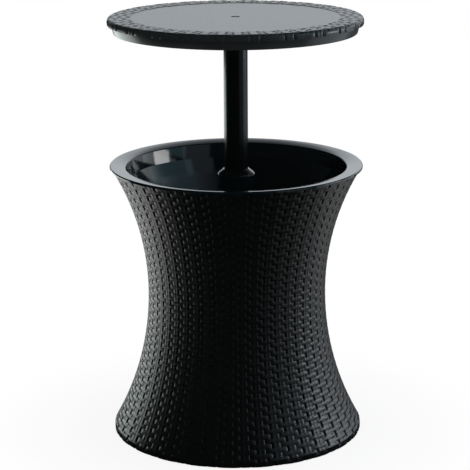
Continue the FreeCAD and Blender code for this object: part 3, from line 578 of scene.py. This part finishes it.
def weave_spun(shape, layers, first_turn, draft, crown):
    """Slides the columns and sinks every point by the depth of the weave."""
    for point in shape.verts:
        level, climb_radius, climb_height, share = (point[layer] for layer in layers)
        turn = math.degrees(math.atan2(point.co.x, -point.co.y)) - first_turn
        middle = round(turn / PAIR_SPACING)
        offset = slide_column(turn - middle * PAIR_SPACING)
        turn = middle * PAIR_SPACING + offset
        angle = math.radians(turn + first_turn)
        radius = point.co.xy.length
        height = point.co.z
        if level > PLAIN[0]:
            pair = turn / PAIR_SPACING
            bulge = crown * abs(climb_height)
            depth = weave_depth(pair, level, crevice_depth(offset, angle, draft), bulge) * share
            slide = row_shift(pair, level) * ROW_PITCH * share
            radius += slide * climb_radius - depth * climb_height
            height += slide * climb_height + depth * climb_radius
        point.co = (radius * math.sin(angle), -radius * math.cos(angle), height)


# %% Draw an outline whose outer side is woven
def draw_woven(shape, layers, points, first_turn):
    """Draws a closed outline. A woven point is (radius, height, level, climb in both, share)."""
    made = []
    for radius, height, *memory in points:
        angle = math.radians(first_turn)
        point = shape.verts.new((radius * math.sin(angle), -radius * math.cos(angle), height))
        for layer, value in zip(layers, memory or PLAIN):
            point[layer] = value
        made.append(point)
    for start, end in zip(made, made[1:] + made[:1]):
        shape.edges.new((start, end))


def spin_woven(shape, layers, points, first_turn, draft, crown):
    """Draws a closed outline, sweeps it once round and sinks its woven side."""
    draw_woven(shape, layers, points, first_turn)
    spin_round(shape, COLUMNS, WEAVE_REPEATS)
    weave_spun(shape, layers, first_turn, draft, crown)


def row_levels(first, last):
    """Every level that the mesh has points at, from one groove to another."""
    levels = [first - 0.5]
    for row in range(first, last + 1):
        levels += [row + stop for stop in ROW_STOPS] + [row + 0.5]
    return levels


# %% [markdown]
# ## Case
#
# The case is an hourglass in two mouldings, a lower skirt and an upper one, that meet at the waist with
# a ring inside that centres them. Both outsides are arcs of a circle, wide at the foot and rim. The arc
# follows from two sizes, the rise from the waist and the spread, so it is worked out and not typed in.
# The seam lies in the groove between two rows, where the real one hides too. The lowest and highest rows
# are shallower, because a plate and a rib sit close behind them.

# %% Case sizes
WAIST_HEIGHT = 287.0
WAIST_RADIUS = 177.5
FOOT_RADIUS = 250.0
FOOT_BAND = 12.0
FOOT_EDGE = 1.5
TOP_RADIUS = 246.0
TOP_HEIGHT = 540.5
CASE_WALL = 4.4
THIN_WALL = 2.5
FIRST_ROW_HEIGHT = 12.9
SEAM_ROW = 33
LAST_ROW = 63
CASE_TURN = 3.6
SKIRT_SHARP = 60


def arc_radius(rise, spread):
    """Radius of the arc that is upright at the waist and spreads by that much over that rise."""
    return (rise ** 2 + spread ** 2) / (2 * spread)


LOWER_ARC = arc_radius(WAIST_HEIGHT - FOOT_BAND, FOOT_RADIUS - WAIST_RADIUS)
UPPER_ARC = arc_radius(TOP_HEIGHT - WAIST_HEIGHT, TOP_RADIUS - WAIST_RADIUS)


def case_radius(height):
    """Outer radius of the case at a height."""
    if height <= FOOT_BAND:
        return FOOT_RADIUS
    arc = LOWER_ARC if height < WAIST_HEIGHT else UPPER_ARC
    return WAIST_RADIUS + arc - math.sqrt(arc ** 2 - (height - WAIST_HEIGHT) ** 2)


def level_height(level):
    """Height of a level of the weave on the case."""
    return FIRST_ROW_HEIGHT + ROW_PITCH * level


print("arcs of the case", round(LOWER_ARC, 1), round(UPPER_ARC, 1))

# %% Outer and inner side of a skirt
FOOT_SHARE = 0.6
TOP_SHARE = 0.85
SHALLOW_FOOT = 10.0
SHALLOW_TOP = 529.0
INNER_STEP = 24.0


def depth_share(height):
    """The weave is shallower at the foot and a little under the rim."""
    if height < SHALLOW_FOOT:
        return FOOT_SHARE
    return TOP_SHARE if height > SHALLOW_TOP else 1.0


def outer_point(level):
    """A point of the woven side, with the way in which the levels climb there."""
    height = max(level_height(level), FOOT_EDGE)
    lean = case_radius(height + 0.5) - case_radius(height - 0.5)
    size = math.hypot(lean, 1.0)
    return (case_radius(height), height, level, lean / size, 1.0 / size, depth_share(height))


def inner_side(top, bottom):
    """Points down the plain inside, from one height to another."""
    count = round((top - bottom) / INNER_STEP)
    heights = [top + (bottom - top) * step / count for step in range(count + 1)]
    return [(case_radius(height) - CASE_WALL, height) for height in heights]


# %% Screw posts
POST_STEPS = 24


def add_posts(shape, ring, radius, bore, low, high, count):
    """Hollow posts on a ring, open at the lower end for a screw."""
    post = bmesh.new()
    roof = high - radius / 2
    outline = ((0.0, roof), (bore, roof), (bore, low), (radius, low), (radius, high), (0.0, high))
    draw_outline(post, outline)
    spin_round(post, POST_STEPS)
    bmesh.ops.translate(post, vec=(0, -ring, 0), verts=post.verts)
    loose = bpy.data.meshes.new("post")
    post.to_mesh(loose)
    post.free()
    for number in range(count):
        turn = Matrix.Rotation(math.tau * number / count + math.pi / 2, 4, "Z")
        loose.transform(turn)
        shape.from_mesh(loose)
        loose.transform(turn.inverted())
    bpy.data.meshes.remove(loose)


# %% Lower skirt
SPIGOT_OUTER = 172.3
SPIGOT_INNER = 169.6
SPIGOT_TOP = 299.0
SPIGOT_FOOT = 284.5
FOOT_LEVEL = -1.37
PLATE_TOP = 22.0
THIN_TOP = SHALLOW_FOOT + 1.0
POST_RING = 232.0
POST_RADIUS = 6.0
POST_BORE = 2.4
POST_LOW = 9.0
POST_HIGH = 33.0
POST_COUNT = 8


def make_lower_skirt():
    shape = bmesh.new()
    layers = weave_layers(shape)
    seam = level_height(SEAM_ROW + 0.5)
    outline = [outer_point(level) for level in [FOOT_LEVEL] + row_levels(-1, SEAM_ROW)[2:]]
    outline += [(SPIGOT_OUTER, seam), (SPIGOT_OUTER, SPIGOT_TOP), (SPIGOT_INNER, SPIGOT_TOP),
                (SPIGOT_INNER, SPIGOT_FOOT)]
    outline += inner_side(SPIGOT_FOOT, PLATE_TOP)
    thin_radius = FOOT_RADIUS - THIN_WALL
    outline += [(thin_radius, THIN_TOP), (thin_radius, FOOT_EDGE)]
    spin_woven(shape, layers, outline, CASE_TURN, CASE_DRAFT, CASE_CROWN)
    add_posts(shape, POST_RING, POST_RADIUS, POST_BORE, POST_LOW, POST_HIGH, POST_COUNT)
    finish_piece("woven_lower_skirt", shape, woven_resin, "base", ["lower_skirt"],
                 SKIRT_SHARP)


make_lower_skirt()

# %% Upper skirt
RIB_GAP_RADIUS = 238.15
RIB_FOOT = 532.5
UNDER_RIB = (235.6, 529.5)
RIB_SLOPE = 8.0


def make_upper_skirt():
    shape = bmesh.new()
    layers = weave_layers(shape)
    levels = row_levels(SEAM_ROW + 1, LAST_ROW)
    seam = level_height(levels[0])
    outline = [outer_point(level) for level in levels]
    outline += [(TOP_RADIUS, TOP_HEIGHT), (RIB_GAP_RADIUS, TOP_HEIGHT), (RIB_GAP_RADIUS, RIB_FOOT),
                UNDER_RIB]
    outline += inner_side(UNDER_RIB[1] - RIB_SLOPE, seam)
    spin_woven(shape, layers, outline, CASE_TURN, CASE_DRAFT, CASE_CROWN)
    finish_piece("woven_upper_skirt", shape, woven_resin, "base", ["upper_skirt"],
                 SKIRT_SHARP)


make_upper_skirt()

# %% [markdown]
# ## Bucket
#
# Rim ring, upright basin wall, the cone down to the bucket's mouth, bucket wall, floor and central
# pillar are one thin glossy moulding. Its outline runs down the pillar and up the inside to the rim, and
# a second line one wall thickness behind it comes back, so the piece is a closed shell. The corners are
# rounded as the tool rounds them: the light lines along the rim and at the mouth come from those
# roundings. The drain hole is cut last, with a cylinder, because a spin can't make a hole off the axis.

# %% Bucket sizes
LINER_WALL = 2.2
BUCKET_STEPS = 180
PILLAR_HOLE = 27.4
PILLAR_TOP = (36.5, 525.0, 0.8)
PILLAR_FOOT = (44.0, 195.0, 12.0)
BUCKET_FOOT = (149.6, 195.0, 12.0)
SHOULDER = (162.2, 395.0, 30.0)
MOUTH = (200.0, 482.5, 3.5)
BASIN_FOOT = (212.0, 512.6, 1.5)
BASIN_TOP = (218.2, 541.0, 2.6)
RIM_RADIUS = 249.5
RIM_TOP = 545.0
RIM_SLOPE = 1.8
RIM_ROUND = 1.2
RIB_RADIUS = 235.7
LINER_RIB_FOOT = 532.0
RIB_ROUND = 0.5
STEP_UNDER = BASIN_TOP[1] - LINER_WALL
STEP_CORNER = 223.7
STEP_SLOPE = 3.5
BEHIND_BASIN_FOOT = (214.2, 510.0)
CORNER_SOFTER = 2.0


def behind(corner, side=1, softer=0.0):
    """The corner one wall outside and below a corner of the inside. The pillar's side is -1."""
    radius, height, rounding = corner
    return (radius + side * LINER_WALL, height - LINER_WALL, rounding + softer)


def bucket_corners():
    """Down the pillar, up the inside to the rim, round the rim and its rib, and back behind the wall."""
    inside = [(PILLAR_HOLE, PILLAR_TOP[1]), PILLAR_TOP, PILLAR_FOOT, BUCKET_FOOT, SHOULDER, MOUTH,
              BASIN_FOOT, BASIN_TOP]
    rib_outer = RIB_RADIUS + LINER_WALL
    rim = [(RIM_RADIUS - RIM_SLOPE, RIM_TOP, RIM_ROUND), (RIM_RADIUS, RIM_TOP - RIM_SLOPE, RIM_ROUND),
           (RIM_RADIUS, TOP_HEIGHT), (rib_outer, TOP_HEIGHT), (rib_outer, LINER_RIB_FOOT, RIB_ROUND),
           (RIB_RADIUS, LINER_RIB_FOOT, RIB_ROUND)]
    step = [(RIB_RADIUS, STEP_UNDER), (STEP_CORNER, STEP_UNDER),
            (STEP_CORNER - STEP_SLOPE, STEP_UNDER - STEP_SLOPE), BEHIND_BASIN_FOOT]
    outside = [behind(MOUTH), behind(SHOULDER), behind(BUCKET_FOOT, softer=CORNER_SOFTER),
               behind(PILLAR_FOOT, side=-1, softer=CORNER_SOFTER)]
    radius, height = behind(PILLAR_TOP, side=-1)[:2]
    return inside + rim + step + outside + [(radius, height), (PILLAR_HOLE, height)]


# %% Cut the drain hole
DRAIN_PLACE = (81.3, 81.3)
DRAIN_HOLE = 11.9
DRAIN_CUT = (185.0, 200.0)
DRILL_STEPS = 48


def cut_hole(piece, place, radius, low, high):
    """Cuts a round upright hole through a piece with a boolean, and keeps the result as its mesh."""
    drill = bmesh.new()
    bmesh.ops.create_cone(drill, cap_ends=True, segments=DRILL_STEPS, radius1=radius * MM,
                          radius2=radius * MM, depth=(high - low) * MM)
    middle = Vector((*place, (low + high) / 2)) * MM
    bmesh.ops.translate(drill, vec=middle, verts=drill.verts)
    mesh = bpy.data.meshes.new("drill")
    drill.to_mesh(mesh)
    drill.free()
    tool = bpy.data.objects.new("drill", mesh)
    bpy.context.scene.collection.objects.link(tool)
    cut = piece.modifiers.new("drain_hole", "BOOLEAN")
    cut.operation = "DIFFERENCE"
    cut.object = tool
    solid = bpy.data.meshes.new_from_object(piece.evaluated_get(bpy.context.evaluated_depsgraph_get()))
    piece.modifiers.clear()
    piece.data = solid
    bpy.data.objects.remove(tool)
    solid.shade_smooth()
    solid.set_sharp_from_angle(angle=math.radians(SHARP_ANGLE))
    print("hole cut in", piece.name, "faces", len(solid.polygons))


bucket = add_turned("bucket_moulding", bucket_corners(), BUCKET_STEPS, bucket_resin, "base",
                    ["bucket_liner"])
cut_hole(bucket, DRAIN_PLACE, DRAIN_HOLE, *DRAIN_CUT)

# %% [markdown]
# ## Collar and pole
#
# A conical nut closes the top of the pillar round the pole. The pole is a plain tube with a rounded edge
# at each end. Both are turned, with enough columns that their edges look round.

# %% Collar and pole
POLE_STEPS = 72
COLLAR_BORE = 23.9
COLLAR_NECK = 25.5
COLLAR_RADIUS = 35.0
COLLAR_FOOT = 526.5
COLLAR_EDGE = 528.0
COLLAR_TOP = 535.0
POLE_RADIUS = 23.5
POLE_BORE = 21.5
POLE_FOOT = 431.8
POLE_TOP = 826.5
TURNED_EDGE = 0.4
CONE_EDGE = 0.5

collar_outline = [
    (COLLAR_BORE, COLLAR_FOOT), (COLLAR_RADIUS, COLLAR_FOOT, TURNED_EDGE),
    (COLLAR_RADIUS, COLLAR_EDGE, CONE_EDGE), (COLLAR_NECK, COLLAR_TOP, CONE_EDGE),
    (COLLAR_BORE, COLLAR_TOP, TURNED_EDGE)]
pole_outline = [
    (POLE_BORE, POLE_FOOT), (POLE_RADIUS, POLE_FOOT, TURNED_EDGE), (POLE_RADIUS, POLE_TOP, TURNED_EDGE),
    (POLE_BORE, POLE_TOP)]
add_turned("pole_nut", collar_outline, POLE_STEPS, collar_resin, "base", ["pole_collar"])
add_turned("lift_tube", pole_outline, POLE_STEPS, pole_enamel, "lid", ["pole"])

# %% [markdown]
# ## Lid
#
# The lid is a shallow drum in two mouldings. The upper one has a smooth panel, five rings of weave round
# it and one more row down its edge. The weave follows the outline round the edge, so its points sink
# down on top and inward on the band. One more ring of points, 1 mm inside each edge of the panel, keeps
# its shading flat. The lower moulding is a plain tapered skirt with the floor of the drum. A small domed
# cap fills the well over the centre bolt.

# %% Lid sizes
LID_RADIUS = 249.0
LID_TOP = 836.0
LID_ROUND = 4.0
BAND_FOOT = 823.0
BORDER_EDGE = 245.5
PANEL_RADIUS = 203.0
PANEL_TOP = 835.0
PANEL_LOW = 832.3
WELL_RADIUS = 8.5
WELL_FLOOR = 829.0
BOLT_HOLE = 4.2
LID_TURN = 1.0
LID_ROWS = 5
LID_WALL = 3.4
LID_SHARE = 0.5
EDGE_SHARE = 0.8
BAND_BULGE = 1.0
BAND_LEVELS = ((BAND_FOOT, -0.22), (826.0, -0.1), (828.0, 0.0), (830.2, 0.22), (831.6, 0.36))
LID_SHARP = 50


def band_point(height, level):
    """A point of the row on the lid's edge, which bulges a little. The levels climb straight up."""
    return (LID_RADIUS - BAND_BULGE * (2 * level) ** 2, height, level, 0.0, 1.0, EDGE_SHARE)


def border_point(level):
    """A point of the rings on top of the lid, where the levels climb inward."""
    radius = BORDER_EDGE - ROW_PITCH * (level - 0.5)
    return (radius, LID_TOP, level, -1.0, 0.0, LID_SHARE)


def edge_point():
    """The point halfway round the lid's rounded edge, in the groove between the band and the rings."""
    slant = math.sqrt(0.5)
    inset = LID_ROUND * (1 - slant)
    return (LID_RADIUS - BAND_BULGE - inset / 2, LID_TOP - inset, 0.5, -slant, slant, EDGE_SHARE)


# %% Table top
LIP_RADIUS = 241.5
LIP_THICK = 2.5
BOSS_RADIUS = 11.0
BOSS_FOOT = 826.5
PANEL_ROUND = 0.4
PANEL_HOLD = 1.0
LID_POST_RING = 222.0
LID_POST_RADIUS = 5.5
LID_POST_BORE = 2.1
LID_POST_FOOT = 812.2


def make_lid_top():
    shape = bmesh.new()
    layers = weave_layers(shape)
    outline = [band_point(height, level) for height, level in BAND_LEVELS]
    outline += [edge_point()]
    outline += [border_point(level) for level in row_levels(1, LID_ROWS)[1:]]
    outline += [(PANEL_RADIUS, PANEL_TOP), (PANEL_RADIUS - PANEL_HOLD, PANEL_TOP),
                (WELL_RADIUS + PANEL_ROUND + PANEL_HOLD, PANEL_TOP),
                (WELL_RADIUS + PANEL_ROUND, PANEL_TOP), (WELL_RADIUS, PANEL_TOP - PANEL_ROUND),
                (WELL_RADIUS, WELL_FLOOR), (BOLT_HOLE, WELL_FLOOR), (BOLT_HOLE, BOSS_FOOT),
                (BOSS_RADIUS, BOSS_FOOT), (BOSS_RADIUS, PANEL_LOW)]
    inner_radius = LID_RADIUS - LID_WALL
    lip_top = BAND_FOOT + LIP_THICK
    outline += [(inner_radius, PANEL_LOW), (inner_radius, lip_top), (LIP_RADIUS, lip_top),
                (LIP_RADIUS, BAND_FOOT)]
    spin_woven(shape, layers, outline, LID_TURN, 0.0, LID_CROWN)
    add_posts(shape, LID_POST_RING, LID_POST_RADIUS, LID_POST_BORE, LID_POST_FOOT, PANEL_LOW, POST_COUNT)
    finish_piece("table_top", shape, lid_resin, "lid", ["lid_top"], LID_SHARP)


make_lid_top()

# %% Lid skirt and centre cap
LID_FLOOR = 812.0
LID_UNDER = 809.5
LID_FOOT = 806.0
SKIRT_FOOT_RADIUS = 237.0
SKIRT_TOP_RADIUS = 241.1
SKIRT_LIP_TOP = 830.0
SKIRT_INNER_RADIUS = 238.6
RING_RADIUS = 234.5
LID_FLOOR_EDGE = 234.6
FLANGE_RADIUS = 66.0
FLANGE_HOLE = 24.0
FLANGE_ROUND = 1.0
RING_ROUND = 0.6
SKIRT_ROUND = 0.9
LID_FLOOR_ROUND = 0.8
SKIRT_STEPS = 240
CAP_STEPS = 48
CAP_RADIUS = 7.9
CAP_BORE = 7.1
CAP_UNDER = 831.7
CAP_EDGE = 832.2
CAP_ROUND = 1.0
CAP_DOME = (4.4, 834.3, 4.0)
CAP_TOP = 834.9

skirt_outline = [
    (FLANGE_HOLE, LID_FOOT), (FLANGE_RADIUS, LID_FOOT, FLANGE_ROUND), (FLANGE_RADIUS, LID_UNDER),
    (RING_RADIUS, LID_UNDER, FLANGE_ROUND), (RING_RADIUS, LID_FOOT, RING_ROUND),
    (SKIRT_FOOT_RADIUS, LID_FOOT, SKIRT_ROUND), (SKIRT_TOP_RADIUS, BAND_FOOT),
    (SKIRT_TOP_RADIUS, SKIRT_LIP_TOP), (SKIRT_INNER_RADIUS, SKIRT_LIP_TOP),
    (SKIRT_INNER_RADIUS, BAND_FOOT), (LID_FLOOR_EDGE, LID_FLOOR, LID_FLOOR_ROUND),
    (FLANGE_HOLE, LID_FLOOR)]
cap_outline = [
    (0.0, CAP_UNDER), (CAP_BORE, CAP_UNDER), (CAP_BORE, WELL_FLOOR), (CAP_RADIUS, WELL_FLOOR),
    (CAP_RADIUS, CAP_EDGE, CAP_ROUND), CAP_DOME, (0.0, CAP_TOP)]
add_turned("lid_skirt", skirt_outline, SKIRT_STEPS, lid_resin, "lid", ["lid_lower_shell"])
add_turned("bolt_cap", cap_outline, CAP_STEPS, lid_resin, "lid", ["centre_cap"])

# %% [markdown]
# ## Pieces that keep their CAD mesh
#
# Everything inside the table has the right shape already, so it only gets its material. The frame's
# record says which finish each piece has, and a small table here turns a finish into a material.

# %% Materials for the carried-over pieces
finishes = {
    "hidden_resin": hidden_resin, "bearing_resin": bearing_resin, "seal_rubber": seal_rubber,
    "tube_aluminium": tube_aluminium, "screw_steel": screw_steel, "woven_resin": woven_resin,
    "lid_resin": lid_resin, "bucket_resin": bucket_resin, "collar_resin": collar_resin,
    "pole_enamel": pole_enamel}
slots = {part["node"]: part["material_slot"] for part in frame["record"]["subparts"]}
for name, node in frame["nodes"].items():
    node.data.materials.clear()
    node.data.materials.append(finishes[slots[name]])
print("materials given to", len(slots), "nodes")

# %% [markdown]
# ## Floor and light
#
# The table stands on a pale round floor in a white room. To the camera the floor is nearly white and
# keeps the soft shadow of the table. It turns fully white towards its edge, where it meets the white
# room without a line. A glossy black thing is drawn by what it reflects. So to glossy rays the room is
# dim in front, as it is behind a photographer, and bright only at the back, with a faint blue tint from
# the sky. To them the floor shows painted light: it glows, dim in front of the table and bright at both
# sides, and that glow lights the outward-leaning wall under the rim.

# %% Floor as the camera sees it
FLOOR_RADIUS = 1.4
FLOOR_STEPS = 96
FLOOR_FADE = (0.25, 0.6)
FLOOR_WHITE = 0.88


def add_seen_floor(tree, shader, place, rays):
    """The pale floor with its shadow, which turns fully white towards its edge."""
    seen = add_node(tree, "Math", {"operation": "MAXIMUM"}, {0: rays.outputs["Is Camera Ray"],
                                                             1: rays.outputs["Is Transmission Ray"]})
    away = add_node(tree, "VectorMath", {"operation": "LENGTH"}, {0: place})
    fade = add_node(tree, "MapRange", {"interpolation_type": "SMOOTHSTEP", "From Min": FLOOR_FADE[0],
                                       "From Max": FLOOR_FADE[1], "To Min": FLOOR_WHITE, "To Max": 1.0},
                    {"Value": away.outputs["Value"]})
    share = add_node(tree, "Math", {"operation": "MULTIPLY"}, {0: fade.outputs["Result"],
                                                               1: seen.outputs["Value"]})
    white = add_node(tree, "Emission", {"Color": (1.0, 1.0, 1.0, 1.0), "Strength": 1.0})
    return add_node(tree, "MixShader", {}, {0: share.outputs["Value"], 1: shader.outputs["BSDF"],
                                            2: white.outputs["Emission"]})


# %% Painted glow on the floor, as glossy pieces mirror it
FLOOR_REACH = 1.0
# Painted light: how brightly the floor glows to glossy rays, across it from left to right and from front
# to back.
FLOOR_GLOW_ACROSS = ((-1.0, 1.9), (-0.63, 1.6), (-0.54, 0.25), (-0.46, 0.04), (0.2, 0.04), (0.5, 0.07),
               (0.68, 0.6))
FLOOR_GLOW_DEPTH = ((-0.25, 0.12), (0.25, 1.0), (0.55, 1.0), (0.95, 0.5))
FLOOR_GLOW_RIGHT = 0.45
FLOOR_GLOW_RIGHT_FADE = (0.2, 0.6)


def add_floor_ramp(tree, axis, stops):
    """Greys along one axis of the floor, from stops of a place in metres and a light."""
    along = add_node(tree, "MapRange", {"From Min": -FLOOR_REACH, "From Max": FLOOR_REACH},
                     {"Value": axis})
    shares = [((place / FLOOR_REACH + 1) / 2, light) for place, light in stops]
    return add_ramp(tree, along.outputs["Result"], shares)


def add_painted_floor_glow(tree, place):
    """Painted light on the floor, an emission seen only by glossy rays: dim in front, bright at both
    sides.
    """
    axes = add_node(tree, "SeparateXYZ", {}, {"Vector": place})
    glow_across = add_floor_ramp(tree, axes.outputs["X"], FLOOR_GLOW_ACROSS)
    depth = add_floor_ramp(tree, axes.outputs["Y"], FLOOR_GLOW_DEPTH)
    right = add_node(tree, "MapRange", {"From Min": FLOOR_GLOW_RIGHT_FADE[0], "From Max": FLOOR_GLOW_RIGHT_FADE[1],
                                        "To Max": FLOOR_GLOW_RIGHT}, {"Value": axes.outputs["X"]})
    level = add_node(tree, "Math", {"operation": "MAXIMUM"}, {0: depth, 1: right.outputs["Result"]})
    return add_node(tree, "Emission", {}, {"Color": glow_across, "Strength": level.outputs["Value"]})


# %% Lay the floor
FLOOR_COLOUR = "#e6e6e6"
FLOOR_ROUGHNESS = 0.7


def make_floor_paint():
    material, tree, shader, place = new_material("pale_floor_painted_glow")
    shader.inputs["Base Color"].default_value = colour(FLOOR_COLOUR)
    shader.inputs["Roughness"].default_value = FLOOR_ROUGHNESS
    rays = add_node(tree, "LightPath", {})
    seen = add_seen_floor(tree, shader, place, rays)
    glow_shader = add_painted_floor_glow(tree, place)
    # Glossy rays see the painted glow, an emission, in place of the lit floor.
    both = add_node(tree, "MixShader", {}, {0: rays.outputs["Is Glossy Ray"], 1: seen.outputs["Shader"],
                                            2: glow_shader.outputs["Emission"]})
    tree.links.new(both.outputs["Shader"], tree.nodes["Material Output"].inputs["Surface"])
    return material


def make_floor():
    shape = bmesh.new()
    bmesh.ops.create_circle(shape, cap_ends=True, segments=FLOOR_STEPS, radius=FLOOR_RADIUS)
    mesh = bpy.data.meshes.new("floor")
    shape.to_mesh(mesh)
    shape.free()
    mesh.materials.append(make_floor_paint())
    floor = bpy.data.objects.new("floor", mesh)
    bpy.context.scene.collection.objects.link(floor)
    return floor


floor = make_floor()
print(floor.name, "radius", FLOOR_RADIUS, "m")

# %% [markdown]
# Five soft boxes make the rest. One low box at the left draws the sharp edge between the light flank and
# the black middle. A box at the right and a weak tall one in front of it give the softer right flank. A
# window and a pale blue sky, both far out at the right, are what the left side of the basin mirrors.
# They are at a plain level, at which a colour comes out about as it is written.

# %% Lamps
def add_lamp(name, turn, rise, distance, width, height, power, tint, target):
    """A soft box. turn is its bearing from the front towards +X, rise its angle above the target."""
    light = bpy.data.lights.new(name, "AREA")
    light.shape = "RECTANGLE"
    light.size = width
    light.size_y = height
    light.energy = power
    light.color = colour(tint)[:3]
    lamp = bpy.data.objects.new(name, light)
    bpy.context.scene.collection.objects.link(lamp)
    bearing, lift = math.radians(turn), math.radians(rise)
    flat = math.cos(lift)
    away = Vector((math.sin(bearing) * flat, -math.cos(bearing) * flat, math.sin(lift)))
    lamp.location = target + away * distance
    lamp.rotation_euler = away.to_track_quat("Z", "Y").to_euler()
    lamp.visible_camera = False
    return lamp


MIDDLE_AIM = Vector((0.0, 0.0, 0.5))
RIM_AIM = Vector((0.0, 0.0, 0.53))
lamps = [
    add_lamp("left_box", -128.0, -9.0, 1.5, 1.3, 0.56, 7.0, "#f3fffb", MIDDLE_AIM),
    add_lamp("right_box", 98.0, -13.0, 1.6, 1.6, 1.5, 6.8, "#e8f5ff", MIDDLE_AIM),
    add_lamp("right_fill", 48.0, 22.0, 1.6, 0.9, 2.2, 1.7, "#e0f0fc", MIDDLE_AIM),
    add_lamp("right_window", 92.0, 9.0, 2.4, 0.9, 0.45, 8.0, "#ffffff", RIM_AIM),
    add_lamp("right_sky", 88.0, 29.0, 2.4, 2.6, 1.4, 7.2, "#a8d8ee", RIM_AIM)]
print("lamps", [lamp.name for lamp in lamps])

# %% Room
ROOM_PROFILE = ((0.0, 0.1), (0.49, 0.12), (0.53, 1.0), (0.62, 1.4), (0.66, 1.25), (0.72, 0.45),
                (0.77, 0.22), (0.9, 0.06))
ROOM_DIFFUSE = 0.7
ROOM_FRONT = 0.02
ROOM_SWING = 0.5
ROOM_BACK = (0.5, 0.95)
ROOM_TINT = "#f2f9ff"


def make_room():
    world = bpy.data.worlds.new("white_room")
    world.use_nodes = True
    bpy.context.scene.world = world
    tree = world.node_tree
    background = tree.nodes["Background"]
    way = add_node(tree, "TexCoord", {}).outputs["Generated"]
    axes = add_node(tree, "SeparateXYZ", {}, {"Vector": way})
    swung = add_node(tree, "Math", {"operation": "MULTIPLY_ADD", 1: ROOM_SWING},
                     {0: axes.outputs["X"], 2: axes.outputs["Y"]})
    backdrop = add_node(tree, "MapRange", {"interpolation_type": "SMOOTHSTEP",
                                           "From Min": ROOM_BACK[0], "From Max": ROOM_BACK[1],
                                           "To Min": ROOM_FRONT, "To Max": 1.0},
                        {"Value": swung.outputs["Value"]})
    height = add_node(tree, "MapRange", {"From Min": -1.0, "From Max": 1.0}, {"Value": axes.outputs["Z"]})
    profile = add_ramp(tree, height.outputs["Result"], ROOM_PROFILE)
    wall = add_node(tree, "Math", {"operation": "MULTIPLY"}, {0: backdrop.outputs["Result"], 1: profile})
    rays = add_node(tree, "LightPath", {})
    clear = add_node(tree, "Math", {"operation": "MAXIMUM"}, {0: rays.outputs["Is Camera Ray"],
                                                              1: rays.outputs["Is Transmission Ray"]})
    even = add_node(tree, "Math", {"operation": "MULTIPLY", 1: ROOM_DIFFUSE},
                    {0: rays.outputs["Is Diffuse Ray"]})
    flat = add_node(tree, "Math", {"operation": "MAXIMUM"},
                    {0: clear.outputs["Value"], 1: even.outputs["Value"]})
    strength = add_node(tree, "Math", {"operation": "MAXIMUM"}, {0: wall.outputs["Value"],
                                                                 1: flat.outputs["Value"]})
    tint = add_node(tree, "Mix", {"data_type": "RGBA"}, {0: rays.outputs["Is Glossy Ray"]})
    tint.inputs[6].default_value = (1.0, 1.0, 1.0, 1.0)
    tint.inputs[7].default_value = colour(ROOM_TINT)
    tree.links.new(tint.outputs[2], background.inputs["Color"])
    tree.links.new(strength.outputs["Value"], background.inputs["Strength"])
    return world


room = make_room()
print("room", room.name)
